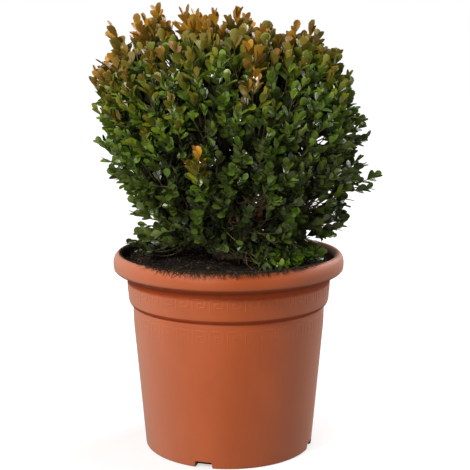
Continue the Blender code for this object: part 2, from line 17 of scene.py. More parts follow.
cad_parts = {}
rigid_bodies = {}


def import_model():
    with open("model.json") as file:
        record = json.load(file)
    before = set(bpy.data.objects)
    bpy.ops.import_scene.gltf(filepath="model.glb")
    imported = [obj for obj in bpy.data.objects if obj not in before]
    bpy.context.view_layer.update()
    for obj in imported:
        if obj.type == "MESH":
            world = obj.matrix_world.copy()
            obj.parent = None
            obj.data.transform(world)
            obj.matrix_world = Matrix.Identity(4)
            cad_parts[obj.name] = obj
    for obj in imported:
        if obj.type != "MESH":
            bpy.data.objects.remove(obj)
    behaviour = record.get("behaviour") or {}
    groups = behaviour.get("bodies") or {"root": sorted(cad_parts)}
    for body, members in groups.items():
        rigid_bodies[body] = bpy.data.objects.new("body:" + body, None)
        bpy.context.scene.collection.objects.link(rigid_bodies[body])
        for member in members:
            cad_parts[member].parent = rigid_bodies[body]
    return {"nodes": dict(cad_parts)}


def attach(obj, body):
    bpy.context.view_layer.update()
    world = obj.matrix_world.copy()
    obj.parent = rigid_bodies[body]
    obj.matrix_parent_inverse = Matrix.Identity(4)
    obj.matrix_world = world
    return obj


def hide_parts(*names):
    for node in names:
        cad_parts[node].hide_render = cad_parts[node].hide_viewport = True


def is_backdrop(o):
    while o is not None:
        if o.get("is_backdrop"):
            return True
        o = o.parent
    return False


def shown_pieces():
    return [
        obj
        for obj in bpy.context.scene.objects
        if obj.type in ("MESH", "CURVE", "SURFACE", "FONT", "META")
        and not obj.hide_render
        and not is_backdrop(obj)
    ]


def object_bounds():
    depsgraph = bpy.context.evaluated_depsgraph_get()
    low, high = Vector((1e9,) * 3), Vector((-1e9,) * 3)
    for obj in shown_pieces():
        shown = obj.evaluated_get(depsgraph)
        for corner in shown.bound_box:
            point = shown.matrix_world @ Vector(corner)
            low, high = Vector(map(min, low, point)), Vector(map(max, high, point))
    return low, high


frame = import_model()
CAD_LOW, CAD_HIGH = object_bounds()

UP = Vector((0.0, 0.0, 1.0))
print("solids:", len(frame["nodes"]), "box", [round(x, 4) for x in (*CAD_LOW, *CAD_HIGH)])

# %% [markdown]
# ## Helpers for pieces
# Most pieces here end the same way: a mesh at the origin, with a material, that rides on the
# one body and stands for some of the solids. Short helpers do that, so that a piece's own cell
# can be about its shape.

# %% Making and finishing a piece
REAL_BODY = "root"
print("every piece rides on", REAL_BODY)


def link(obj):
    """Puts an object into the scene."""
    bpy.context.scene.collection.objects.link(obj)
    return obj


def mesh_piece(name, bm, material=None):
    """An object at the origin from a bmesh, which is freed."""
    mesh = bpy.data.meshes.new(name)
    bm.to_mesh(mesh)
    bm.free()
    if material:
        mesh.materials.append(material)
    return link(bpy.data.objects.new(name, mesh))


def baked(obj, name):
    """Turns an object with live modifiers, or a curve, into a plain mesh object."""
    bpy.context.view_layer.update()
    graph = bpy.context.evaluated_depsgraph_get()
    mesh = bpy.data.meshes.new_from_object(obj.evaluated_get(graph))
    bpy.data.objects.remove(obj)
    mesh.name = name
    return link(bpy.data.objects.new(name, mesh))


def add_line(curve, points, radii=None):
    """Adds a line of straight pieces to a curve, with a radius at each point."""
    spline = curve.splines.new("POLY")
    spline.points.add(len(points) - 1)
    for place, point, radius in zip(spline.points, points, radii or [1.0] * len(points)):
        place.co = (*point, 1.0)
        place.radius = radius
    return spline


def strands_piece(name, strands, material):
    """One mesh of many thin square-sectioned strands, each given as points and radii."""
    curve = bpy.data.curves.new(name, "CURVE")
    curve.dimensions = "3D"
    curve.bevel_depth = 1.0
    curve.bevel_resolution = 0
    curve.use_fill_caps = True
    curve.materials.append(material)
    for points, radii in strands:
        add_line(curve, points, radii)
    return baked(link(bpy.data.objects.new(name + "_strands", curve)), name)


def triangles_in(obj):
    """The number of triangles that an object's faces come to."""
    return sum(len(face.vertices) - 2 for face in obj.data.polygons)


def finish_piece(obj, replaced=()):
    """The piece rides on the plant's body and stands in for its solids, which are hidden."""
    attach(obj, REAL_BODY)
    if replaced:
        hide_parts(*replaced)
    print(f"{obj.name}: {triangles_in(obj)} triangles")
    return obj


def smooth_but_sharp(obj, degrees):
    """Smooth shading that stays crisp across edges sharper than an angle."""
    obj.data.shade_smooth()
    obj.data.set_sharp_from_angle(angle=math.radians(degrees))


# %% [markdown]
# ## Helpers for nodes
# A node is made, set up and wired. Written out in full, that takes a line for each socket. Here
# one call does it: an input that is given a socket is linked from it, and one that is given
# anything else is set to that. Material, world and Geometry Nodes trees all work this way.

# %% Making and wiring nodes


def feed(tree, node, given):
    """Links or sets a node's inputs, which are given by label or by number."""
    for label, value in given.items():
        if isinstance(value, bpy.types.NodeSocket):
            tree.links.new(value, node.inputs[label])
        else:
            node.inputs[label].default_value = value


def put(tree, kind, given=None, **settings):
    """Adds a node of a kind to a tree, with its settings, and feeds it."""
    node = tree.nodes.new(kind)
    for name, value in settings.items():
        setattr(node, name, value)
    feed(tree, node, given or {})
    return node


def node_group(name, kind, inputs, outputs):
    """A node group with labelled sockets. Returns it, what it is given and its result node."""
    tree = bpy.data.node_groups.new(name, kind)
    for in_out, sockets in (("INPUT", inputs), ("OUTPUT", outputs)):
        for label, sort in sockets.items():
            tree.interface.new_socket(name=label, in_out=in_out, socket_type=f"NodeSocket{sort}")
    return tree, tree.nodes.new("NodeGroupInput").outputs, tree.nodes.new("NodeGroupOutput")


def clean_material(name):
    """A node material with nothing in it but the shader. Returns it, its tree and its shader."""
    made = bpy.data.materials.new(name)
    made.use_nodes = True
    return made, made.node_tree, made.node_tree.nodes["Principled BSDF"]


def math_node(tree, operation, first, second=None):
    """A Math node's output. Its inputs are sockets or numbers."""
    given = {0: first} if second is None else {0: first, 1: second}
    return put(tree, "ShaderNodeMath", given, operation=operation).outputs[0]


def span(tree, value, low, high):
    """A value from 0 to 1 brought between low and high."""
    given = {"Value": value, "To Min": low, "To Max": high}
    return put(tree, "ShaderNodeMapRange", given).outputs["Result"]


def two_tones(tree, mask, *tones):
    """A colour that goes from the first tone to the second with a mask."""
    first, second = ((*tone, 1.0) if isinstance(tone, tuple) else tone for tone in tones)
    given = {"Factor": mask, "A": first, "B": second}
    return put(tree, "ShaderNodeMix", given, data_type="RGBA").outputs["Result"]


def bump_from(tree, height, distance):
    """A normal that is bumped by a height."""
    given = {"Height": height, "Distance": distance, "Strength": 1.0}
    return put(tree, "ShaderNodeBump", given).outputs["Normal"]


print("node helpers ready")

# %% [markdown]
# ## The camera
# The photograph was taken from a little above the pot's lip, with a long lens. A long lens keeps
# the pot's sides nearly straight. Its height and tilt were found from two ovals, the lip and the
# foot: the higher the camera, the rounder both look.

# %% Camera
LENS, SENSOR_WIDTH = 83.36, 36.0
CAMERA_PLACE = (0.0066, -1.120, 0.4110)
CAMERA_TILT_DOWN = 9.546

camera_data = bpy.data.cameras.new("camera")
camera_data.lens = LENS
camera_data.sensor_width = SENSOR_WIDTH
camera = link(bpy.data.objects.new("camera", camera_data))
camera.location = CAMERA_PLACE
camera.rotation_euler = (math.radians(90.0 - CAMERA_TILT_DOWN), 0.0, 0.0)
bpy.context.scene.camera = camera
print("camera", LENS, "mm")

# %% [markdown]
# ## The studio
# A plant on a white ground needs light from all round, so that its dark inside doesn't go black,
# and one stronger light to model its form. The sky is a dim white. The strongest soft box stands
# high at the front left, and weaker ones stand low in front, at the right, overhead and at the
# back right. The camera sees the sky brighter than it lights the plant, which keeps the ground
# white without washing the leaves out.

# %% Floor and sky
FLOOR_RADIUS = 9.0
FLOOR_SEEN, FLOOR_BOUNCE = 0.50, 0.16
GLOW_DISTANCES, GLOW_STRENGTHS = (0.3, 3.0), (0.55, 0.90)
SKY_LIGHT, SKY_SEEN, SKY_MIRRORED = 0.31, 1.0, 0.52
WHITE = (1.0, 1.0, 1.0)

floor_bm = bmesh.new()
bmesh.ops.create_circle(floor_bm, cap_ends=True, radius=FLOOR_RADIUS, segments=96)
studio_paper, tree, paper = clean_material("studio_paper")
seen = put(tree, "ShaderNodeLightPath").outputs["Is Camera Ray"]
place = put(tree, "ShaderNodeTexCoord").outputs["Object"]
distance = put(tree, "ShaderNodeVectorMath", {0: place}, operation="LENGTH").outputs["Value"]
ramp = {"Value": distance, "From Min": GLOW_DISTANCES[0], "From Max": GLOW_DISTANCES[1]}
ramp |= {"To Min": GLOW_STRENGTHS[0], "To Max": GLOW_STRENGTHS[1]}
glow = put(tree, "ShaderNodeMapRange", ramp).outputs["Result"]
feed(tree, paper, {
    "Base Color": span(tree, seen, FLOOR_BOUNCE, FLOOR_SEEN),
    "Roughness": 0.9,
    "Specular IOR Level": 0.1,
    "Emission Color": (*WHITE, 1.0),
    "Emission Strength": math_node(tree, "MULTIPLY", glow, seen),
})
floor = mesh_piece("studio_floor", floor_bm, studio_paper)
floor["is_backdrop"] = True

sky = bpy.data.worlds.new("studio_sky")
bpy.context.scene.world = sky
sky.use_nodes = True
tree = sky.node_tree
ray = put(tree, "ShaderNodeLightPath").outputs
unseen = span(tree, ray["Is Glossy Ray"], SKY_LIGHT, SKY_MIRRORED)
strength = span(tree, ray["Is Camera Ray"], unseen, SKY_SEEN)
feed(tree, tree.nodes["Background"], {"Color": (*WHITE, 1.0), "Strength": strength})
print("floor radius", FLOOR_RADIUS, "m")

# %% Lamps
WARM_WHITE = (1.0, 0.975, 0.94)
# Each row holds a lamp's name, place, the height it faces, its width, power and colour.
LAMPS = (
    ("key_lamp", (-1.40, -1.55, 1.70), 0.25, 0.6, 54.0, WARM_WHITE),
    ("front_lamp", (-0.75, -1.85, 0.42), 0.25, 0.6, 14.0, WHITE),
    ("side_lamp", (1.80, 0.10, 0.80), 0.25, 0.8, 8.0, WHITE),
    ("top_lamp", (0.45, 0.10, 2.3), 0.3, 1.0, 21.0, WHITE),
    ("back_lamp", (1.5, 1.2, 1.2), 0.3, 1.0, 20.0, WHITE),
)


def soft_box(name, place, aim, size, watts, colour):
    """A square area lamp at a place, which faces a height of the plant's axis."""
    data = bpy.data.lights.new(name, "AREA")
    data.shape = "SQUARE"
    data.size = size
    data.energy = watts
    data.color = colour
    lamp = link(bpy.data.objects.new(name, data))
    lamp.location = place
    lamp.rotation_euler = (Vector((0.0, 0.0, aim)) - Vector(place)).to_track_quat("-Z", "Y").to_euler()


for lamp in LAMPS:
    soft_box(*lamp)
view = bpy.context.scene.view_settings
view.view_transform = "Standard"
view.look = "None"
print("lamps", len(LAMPS))

# %% [markdown]
# ## A shared effect: mottle
# Moulded plastic, bark and compost all vary a little in tone and in height. The effect is the
# same, only its scale and stretch differ, so it is one node group that each material places
# with its own values. It reads Object coordinates, which stay put on the piece.

# %% The mottle group
PATCH_DETAIL, GRAIN_DETAIL = 4.0, 3.0


def mottle_group():
    """Object coordinates, stretched, into a soft mask from 0 to 1 and a finer height."""
    inputs = {"Stretch": "Vector"} | dict.fromkeys(("Patch Scale", "Grain Scale", "Low", "High"), "Float")
    outputs = {"Mask": "Float", "Grain": "Float"}
    tree, given, result = node_group("mottle", "ShaderNodeTree", inputs, outputs)
    place = put(tree, "ShaderNodeTexCoord").outputs["Object"]
    stretched = put(tree, "ShaderNodeVectorMath", {0: place, 1: given["Stretch"]}, operation="MULTIPLY")

    def noise_at(scale, detail):
        """Noise on the stretched coordinates."""
        values = {"Vector": stretched.outputs["Vector"], "Scale": scale, "Detail": detail}
        return put(tree, "ShaderNodeTexNoise", values).outputs["Fac"]

    edges = {"Value": noise_at(given["Patch Scale"], PATCH_DETAIL)}
    edges |= {"From Min": given["Low"], "From Max": given["High"]}
    mask = put(tree, "ShaderNodeMapRange", edges, interpolation_type="SMOOTHSTEP").outputs["Result"]
    feed(tree, result, {"Mask": mask, "Grain": noise_at(given["Grain Scale"], GRAIN_DETAIL)})
    return tree


MOTTLE = mottle_group()


def place_mottle(tree, stretch, patch_scale, grain_scale, low=0.35, high=0.65):
    """Places the shared group with its own values. Returns its mask and its grain."""
    given = {"Stretch": stretch, "Patch Scale": patch_scale, "Grain Scale": grain_scale}
    placed = put(tree, "ShaderNodeGroup", given | {"Low": low, "High": high}, node_tree=MOTTLE)
    return placed.outputs["Mask"], placed.outputs["Grain"]


print("shared group", MOTTLE.name)

# %% [markdown]
# ## The pot's plastic
# The pot is injection moulded in one terracotta coloured plastic. It isn't shiny, but it isn't clay either: a
# broad soft sheen runs down each side. The colour goes almost straight onto the shader, with faint clouding
# from the mould, and very faint upright streaks that the pot gets when it is drawn off its core. A pale
# painted sheen stands in for the reflection of the white room, and is mixed into the colour where the wall
# turns away from the eye. The two grooves, under the lip and under the band, get none of it, and painted
# shade darkens their colour.

# %% Moulded terracotta plastic
# The heights and half widths of the two grooves, where shade is painted into the colour.
LIP_GROOVE_SHADE, STEP_GROOVE_SHADE = (0.1822, 0.0062), (0.1532, 0.0024)
BAND_SOFTNESS = 0.25
PLASTIC_TONES = ((0.408, 0.078, 0.0150), (0.374, 0.069, 0.0125))
# The edge tone is a painted sheen, which stands in for reflected white light.
EDGE_SHEEN_TONE, EDGE_SHEEN_BLEND = (0.78, 0.49, 0.38), 0.17
# The groove tone is painted shade: the grooves are darker and deeper in colour.
GROOVE_SHADE_TONE, GROOVE_SHADE_SHARE = (0.28, 0.034, 0.003), 0.75


def band_mask(tree, value, middle, half):
    """1 where a value is within a band, and 0 outside it."""
    off = math_node(tree, "ABSOLUTE", math_node(tree, "SUBTRACT", value, middle))
    edges = {"From Min": half * (1.0 + BAND_SOFTNESS), "From Max": half * (1.0 - BAND_SOFTNESS)}
    fade = put(tree, "ShaderNodeMapRange", {"Value": off} | edges, interpolation_type="SMOOTHSTEP")
    return fade.outputs["Result"]


def groove_shade_mask(tree):
    """1 in the two grooves of the pot, by their height: where shade is painted into the colour."""
    place = put(tree, "ShaderNodeTexCoord").outputs["Object"]
    height = put(tree, "ShaderNodeSeparateXYZ", {"Vector": place}).outputs["Z"]
    lip_shade, step_shade = (band_mask(tree, height, *groove_shade) for groove_shade in (LIP_GROOVE_SHADE, STEP_GROOVE_SHADE))
    return math_node(tree, "ADD", lip_shade, step_shade)


def terracotta_plastic():
    """Clouded plastic with a painted pale sheen at its edges and painted shade in its grooves."""
    made, tree, shader = clean_material("terracotta_plastic")
    cloud, grain = place_mottle(tree, (1.0, 1.0, 0.6), 26.0, 1500.0)
    streak, _ = place_mottle(tree, (1.0, 1.0, 0.03), 160.0, 700.0)
    groove_shade = groove_shade_mask(tree)
    # Painted sheen: the colour goes paler where the wall turns away from the eye.
    facing = put(tree, "ShaderNodeLayerWeight", {"Blend": EDGE_SHEEN_BLEND}).outputs["Facing"]
    painted_sheen = math_node(tree, "MULTIPLY", facing, math_node(tree, "SUBTRACT", 1.0, groove_shade))
    tone = two_tones(tree, painted_sheen, two_tones(tree, cloud, *PLASTIC_TONES), EDGE_SHEEN_TONE)
    # Painted shade darkens the colour in the grooves.
    painted_shade = math_node(tree, "MULTIPLY", groove_shade, GROOVE_SHADE_SHARE)
    feed(tree, shader, {
        "Base Color": two_tones(tree, painted_shade, tone, GROOVE_SHADE_TONE),
        "Roughness": span(tree, streak, 0.46, 0.54),
        "Metallic": 0.0,
        "Specular IOR Level": 0.27,
        "Normal": bump_from(tree, grain, 0.00006),
    })
    return made


TERRACOTTA = terracotta_plastic()
print("plastic", TERRACOTTA.name)

# %% [markdown]
# ## The pot's wall
# A pot like this is a body of revolution, so its section is drawn once and turned about Z. The
# section repeats the sizes of the solid: a tapered body, a small step, a band, and a rolled lip
# that is an oval in section. A Screw modifier could turn it too. Here the rings are made
# directly, which gives quads all round, and a finer lip than the solid has.

# %% Section of the pot
POT_SEGMENTS = 144
FOOT_RADIUS = 0.0884
FOOT_ROUNDING = 0.0022
WALL = 0.003
BASE_THICKNESS = 0.0035
BODY_SHOULDER_RADIUS, BODY_SHOULDER = 0.0995, 0.130
BODY_TOP_RADIUS, BODY_TOP = 0.1001, 0.1520
STEP_TOP = BODY_TOP + 0.0070
STEP_ROUNDING = ((0.0003, 0.0054), (0.0008, 0.0036), (0.0015, 0.0021), (0.0025, 0.0009), (0.0037, 0.0002))
CREASE = ((0.0005, 0.0002), (0.0005, 0.0010), (0.0, 0.0016))
BAND_RADIUS = 0.1048
BAND_TOP_RADIUS, BAND_TOP = 0.1061, 0.1800
LIP_CROWN_RADIUS, LIP_WIDEST = 0.1146, 0.1955
LIP_CROWN_REACH, LIP_CROWN_RISE = 0.0054, 0.0103
LIP_INNER_ANGLE = 158.0
LIP_CROWN_POINTS = 21
LIP_FACE = ((-0.0001, -0.0022), (-0.0003, -0.0044), (-0.0008, -0.0062), (-0.0019, -0.0075))
LIP_UNDERCUT = ((-0.0035, -0.0087), (-0.0061, -0.0102), (-0.0088, -0.0115), (-0.0112, -0.0125))
LIP_HEEL = ((-0.0127, -0.0132), (-0.0135, -0.0141))
LIP_INNER_RADIUS = LIP_CROWN_RADIUS + LIP_CROWN_REACH * math.cos(math.radians(LIP_INNER_ANGLE))
LIP_FLARE_TOP = 0.1900
UPPER_WALL = (
    (BODY_SHOULDER_RADIUS, BODY_SHOULDER),
    (BODY_TOP_RADIUS, BODY_TOP),
    (BAND_RADIUS, STEP_TOP),
    (BAND_TOP_RADIUS, BAND_TOP),
)


def lip_section():
    """The rolled lip: an oval crown from inside to outside, its face, and a sloping undercut."""
    for i in range(LIP_CROWN_POINTS):
        angle = math.radians(LIP_INNER_ANGLE * (1.0 - i / (LIP_CROWN_POINTS - 1)))
        radius = LIP_CROWN_RADIUS + LIP_CROWN_REACH * math.cos(angle)
        yield radius, LIP_WIDEST + LIP_CROWN_RISE * math.sin(angle)
    widest = LIP_CROWN_RADIUS + LIP_CROWN_REACH
    for across, rise in (*LIP_FACE, *LIP_UNDERCUT, *LIP_HEEL):
        yield widest + across, LIP_WIDEST + rise


def rounded_foot():
    """A quarter circle from the wall down to the flat underside."""
    middle = FOOT_RADIUS - FOOT_ROUNDING
    for degrees in (0.0, 22.5, 45.0, 67.5, 90.0):
        angle = math.radians(degrees)
        out = middle + FOOT_ROUNDING * math.cos(angle)
        yield out, FOOT_ROUNDING - FOOT_ROUNDING * math.sin(angle)


def pot_section():
    """(radius, height) points that run outwards inside the pot and down its outside."""
    yield FOOT_RADIUS - WALL, BASE_THICKNESS
    for radius, height in UPPER_WALL:
        yield radius - WALL, height
    yield LIP_INNER_RADIUS, LIP_FLARE_TOP
    yield from lip_section()
    yield BAND_TOP_RADIUS, BAND_TOP
    yield BAND_RADIUS, STEP_TOP
    for inward, up in STEP_ROUNDING:
        yield BAND_RADIUS - inward, BODY_TOP + up
    for inward, down in CREASE:
        yield BODY_TOP_RADIUS - inward, BODY_TOP - down
    yield BODY_SHOULDER_RADIUS, BODY_SHOULDER
    yield from rounded_foot()


def bridge(bm, rings):
    """Quads from each ring of vertices to the next."""
    for lower, upper in zip(rings, rings[1:]):
        for i in range(len(lower)):
            j = (i + 1) % len(lower)
            bm.faces.new((lower[i], lower[j], upper[j], upper[i]))


def turned(name, section, material):
    """A closed body of revolution. The section's ends are closed onto the axis."""
    bm = bmesh.new()
    turn = [2.0 * math.pi * i / POT_SEGMENTS for i in range(POT_SEGMENTS)]
    rings = []
    for radius, height in section:
        rings.append([bm.verts.new((radius * math.cos(a), radius * math.sin(a), height)) for a in turn])
    bridge(bm, rings)
    for ring in (rings[0], rings[-1]):
        pole = bm.verts.new((0.0, 0.0, ring[0].co.z))
        for i in range(POT_SEGMENTS):
            bm.faces.new((ring[i], ring[(i + 1) % POT_SEGMENTS], pole))
    bmesh.ops.recalc_face_normals(bm, faces=bm.faces)
    return mesh_piece(name, bm, material)


section = list(pot_section())
pot = turned("pot_shell", section, TERRACOTTA)
print("pot rings", len(section))

# %% [markdown]
# ## Drainage notches
# Four notches through the foot let water out. Each is a wedge-sided cut, a little narrower at
# the top so that the mould releases. Boolean modifiers cut them, as in the solid.

# %% Cutting the notches
NOTCH_WIDTH, NOTCH_HEIGHT, NOTCH_DEPTH = 0.020, 0.0068, 0.012
NOTCH_TOP_SHARE = 0.86
NOTCH_TURN, NOTCH_COUNT = -106.5, 4


def notch_cutter(turn):
    """A wedge-sided block through the foot at a turn."""
    bm = bmesh.new()
    bmesh.ops.create_cube(bm, size=1.0)
    for vert in bm.verts:
        upper = vert.co.z > 0
        vert.co.x = vert.co.x * 2.0 * NOTCH_DEPTH + FOOT_RADIUS
        vert.co.y *= NOTCH_WIDTH * (NOTCH_TOP_SHARE if upper else 1.0)
        vert.co.z = NOTCH_HEIGHT if upper else -NOTCH_HEIGHT
    turned_by = Matrix.Rotation(math.radians(turn), 4, "Z")
    bmesh.ops.transform(bm, matrix=turned_by, verts=bm.verts)
    return mesh_piece("notch_cutter", bm)


cutters = [notch_cutter(NOTCH_TURN + 360.0 / NOTCH_COUNT * i) for i in range(NOTCH_COUNT)]
for cutter in cutters:
    cut = pot.modifiers.new("notch", "BOOLEAN")
    cut.operation = "DIFFERENCE"
    cut.object = cutter
pot = baked(pot, "pot_shell")
for cutter in cutters:
    bpy.data.objects.remove(cutter)
smooth_but_sharp(pot, 32.0)
finish_piece(pot, ["pot"])

# %% [markdown]
# ## Moulded key pattern
# Two faint rows of a running key pattern stand a fraction of a millimetre proud of the wall, one
# on the band and a taller one under the step. Each repeats one motif, so Geometry Nodes suit
# them: the motif is swept to a low ridge, laid out in a straight row, and the row is then bent
# round the pot by a formula. Bending comes last, because a straight row is easy to repeat.

# %% Nodes that bend a row of motifs round the pot
RIDGE_WIDTH, RIDGE_RISE = 0.0017, 0.00019
RIDGE_CORNERS = 8
# The corners of the hook's line, on a grid that is one pitch wide.
HOOK = ((0.0, 0.0), (0.0, 5.0), (5.2, 5.0), (5.2, 1.6), (2.1, 1.6), (2.1, 3.4), (3.6, 3.4))
HOOK_PITCH, HOOK_HEIGHT = 7.0, 5.0


def key_motif(pitch, height):
    """One hook of the key, as a flat curve: X along the wall, Z up."""
    unit_x, unit_z = pitch / HOOK_PITCH, height / HOOK_HEIGHT
    curve = bpy.data.curves.new("key_motif", "CURVE")
    curve.dimensions = "3D"
    add_line(curve, [(x * unit_x, 0.0, z * unit_z) for x, z in HOOK])
    return link(bpy.data.objects.new("key_motif", curve))


def ridge_section():
    """A low, round-backed ridge for the motif's line, half of it inside the wall."""
    curve = bpy.data.curves.new("ridge_section", "CURVE")
    angles = [2.0 * math.pi * i / RIDGE_CORNERS for i in range(RIDGE_CORNERS)]
    oval = [(0.5 * RIDGE_WIDTH * math.cos(a), RIDGE_RISE * math.sin(a), 0.0) for a in angles]
    add_line(curve, oval).use_cyclic_u = True
    return link(bpy.data.objects.new("ridge_section", curve))


def key_row_tree():
    """Sweeps the motif to a ridge, lays out a straight row of it and bends the row."""
    inputs = {"Geometry": "Geometry", "Motif": "Object", "Ridge": "Object"}
    inputs |= {"Plastic": "Material", "Count": "Int"}
    inputs |= dict.fromkeys(("Foot Radius", "Top Radius", "Foot Height", "Row Height"), "Float")
    tree, given, result = node_group("key_row", "GeometryNodeTree", inputs, {"Geometry": "Geometry"})
    foot_radius = given["Foot Radius"]

    def calc(operation, first, second=None):
        """A Math node's output in this tree."""
        return math_node(tree, operation, first, second)

    motif, ridge = (
        put(tree, "GeometryNodeObjectInfo", {"Object": given[label]}).outputs["Geometry"]
        for label in ("Motif", "Ridge")
    )
    finer = put(tree, "GeometryNodeSubdivideCurve", {"Curve": motif, "Cuts": 2}).outputs["Curve"]
    sweep = {"Curve": finer, "Profile Curve": ridge, "Fill Caps": True}
    key = put(tree, "GeometryNodeCurveToMesh", sweep).outputs["Mesh"]
    pitch = calc("DIVIDE", calc("MULTIPLY", foot_radius, 2.0 * math.pi), given["Count"])
    offset = put(tree, "ShaderNodeCombineXYZ", {"X": pitch}).outputs["Vector"]
    row = put(tree, "GeometryNodeMeshLine", {"Count": given["Count"], "Offset": offset}).outputs["Mesh"]
    laid = put(tree, "GeometryNodeInstanceOnPoints", {"Points": row, "Instance": key}).outputs["Instances"]
    real = put(tree, "GeometryNodeRealizeInstances", {"Geometry": laid}).outputs["Geometry"]
    place = put(tree, "GeometryNodeInputPosition").outputs["Position"]
    x, y, z = put(tree, "ShaderNodeSeparateXYZ", {"Vector": place}).outputs
    turn = calc("DIVIDE", x, foot_radius)
    share = calc("DIVIDE", z, given["Row Height"])
    widening = calc("SUBTRACT", given["Top Radius"], foot_radius)
    wall = calc("ADD", foot_radius, calc("MULTIPLY", share, widening))
    radius = calc("SUBTRACT", wall, y)
    to_side = calc("MULTIPLY", radius, calc("SINE", turn))
    to_back = calc("MULTIPLY", calc("MULTIPLY", radius, calc("COSINE", turn)), -1.0)
    raised = calc("ADD", z, given["Foot Height"])
    bent = put(tree, "ShaderNodeCombineXYZ", {"X": to_side, "Y": to_back, "Z": raised}).outputs["Vector"]
    moved = put(tree, "GeometryNodeSetPosition", {"Geometry": real, "Position": bent}).outputs["Geometry"]
    painted = put(tree, "GeometryNodeSetMaterial", {"Geometry": moved, "Material": given["Plastic"]})
    feed(tree, result, {"Geometry": painted.outputs["Geometry"]})
    return tree


KEY_ROW = key_row_tree()


def with_nodes(obj, tree, values):
    """Adds a Geometry Nodes modifier and sets its inputs by their identifiers."""
    grown = obj.modifiers.new(tree.name, "NODES")
    grown.node_group = tree
    for item in tree.interface.items_tree:
        if item.item_type == "SOCKET" and item.in_out == "INPUT" and item.name in values:
            grown[item.identifier] = values[item.name]
    return obj


print("tree", KEY_ROW.name, len(KEY_ROW.nodes), "nodes")

# %% The two rows
# Each row holds a piece's name, its number of keys, its foot's height and its own height.
KEY_ROWS = (("band_key_pattern", 38, 0.1650, 0.0115), ("body_key_pattern", 36, 0.1270, 0.0170))


def outer_radius(height):
    """The outside of the pot's wall at a height."""
    radii, heights = zip((FOOT_RADIUS, FOOT_ROUNDING), *UPPER_WALL)
    return float(np.interp(height, heights, radii))


def key_row(name, count, foot_height, row_height):
    """One row of keys on the wall, from a height up."""
    foot, top = outer_radius(foot_height), outer_radius(foot_height + row_height)
    motif = key_motif(2.0 * math.pi * foot / count, row_height)
    ridge = ridge_section()
    carrier = link(bpy.data.objects.new(name, bpy.data.meshes.new(name)))
    values = {"Motif": motif, "Ridge": ridge, "Plastic": TERRACOTTA, "Count": count}
    values |= {"Foot Radius": foot, "Top Radius": top, "Foot Height": foot_height, "Row Height": row_height}
    row = baked(with_nodes(carrier, KEY_ROW, values), name)
    bpy.data.objects.remove(motif)
    bpy.data.objects.remove(ridge)
    smooth_but_sharp(row, 50.0)
    return finish_piece(row)


for row in KEY_ROWS:
    key_row(*row)

# %% [markdown]
# ## Compost
# Potting compost is a crumbly, nearly black surface a little below the lip. A flat disc would
# look like paint. The surface is a fine grid of rings, raised and lowered by noise, and crumbs,
# bits of bark and short fibres lie on it. They are scattered by Geometry Nodes, with few faces
# each, because there are thousands.

# %% Compost materials and surface
SOIL_TOP, SOIL_EDGE = 0.2000, 0.1980
SOIL_SHOULDER, SHOULDER_DROP = 0.014, 0.0010
SOIL_RIM = LIP_INNER_RADIUS - 0.0003
SOIL_FLAT_RADIUS = 0.066
SOIL_GAP = 0.0003
SOIL_RINGS = 44
LUMP_SCALE, LUMP_RISE, LUMP_SINK = 130.0, 0.0010, 0.0006
EARTH_MOTTLE = ((1.0, 1.0, 1.0), 420.0, 1600.0, 0.40, 0.72)


def speckled(name, dark, light, roughness, mottle, bump, specular=0.5):
    """A dull material in two speckled tones, with a bump from the same mottle."""
    made, tree, shader = clean_material(name)
    mask, grain = place_mottle(tree, *mottle)
    feed(tree, shader, {
        "Base Color": two_tones(tree, mask, dark, light),
        "Roughness": roughness,
        "Specular IOR Level": specular,
        "Normal": bump_from(tree, grain, bump),
    })
    return made


def earthy(name, dark, light, roughness):
    """A material of the compost's kind."""
    return speckled(name, dark, light, roughness, EARTH_MOTTLE, 0.0006, 0.25)


COMPOST = earthy("compost", (0.0060, 0.0040, 0.0030), (0.028, 0.015, 0.009), 0.95)
BARK_CRUMB = earthy("bark_crumb", (0.045, 0.022, 0.012), (0.16, 0.085, 0.045), 0.85)
MOSS = earthy("moss", (0.010, 0.008, 0.005), (0.085, 0.052, 0.022), 0.9)
# Its pale colour is partly a painted highlight, for glints on fine twigs.
PAINTED_GLINT_FIBRE = earthy("painted_glint_fibre", (0.10, 0.075, 0.045), (0.34, 0.29, 0.20), 0.7)


def compost_height(x, y):
    """The compost's top at a place: nearly flat, and lower at the wall, with lumps."""
    places = (SOIL_FLAT_RADIUS, SOIL_RIM - SOIL_SHOULDER, SOIL_RIM)
    heights = (SOIL_TOP, SOIL_EDGE + SHOULDER_DROP, SOIL_EDGE)
    base = float(np.interp(math.hypot(x, y), places, heights))
    lumps = noise.fractal(Vector((x, y, 0.0)) * LUMP_SCALE, 0.9, 2.1, 5)
    return base - LUMP_SINK + LUMP_RISE * lumps


def compost_surface():
    """A body that fills the pot, with a fine, lumpy top."""
    inside = WALL + SOIL_GAP
    section = [(SOIL_RIM * (i + 1) / SOIL_RINGS, SOIL_TOP) for i in range(SOIL_RINGS)]
    section.append((SOIL_RIM, LIP_FLARE_TOP))
    section += [(radius - inside, height) for radius, height in reversed(UPPER_WALL)]
    section.append((FOOT_RADIUS - inside, BASE_THICKNESS + SOIL_GAP))
    soil = turned("compost", section, COMPOST)
    for vert in soil.data.vertices:
        if vert.co.z > LIP_FLARE_TOP + 0.001:
            vert.co.z = compost_height(vert.co.x, vert.co.y)
    soil.data.shade_smooth()
    return soil


soil = compost_surface()
finish_piece(soil, ["potting_soil"])

# %% [markdown]
# ## Crumbs and fibres
# Crumbs, chips of bark and short fibres lie all over the compost, and upright moss blades stand
# only where it meets the wall. One node tree scatters all five kinds. It takes the surface, a
# shape to lay on it, a density, a size range and a seed, and a table holds these for each kind.

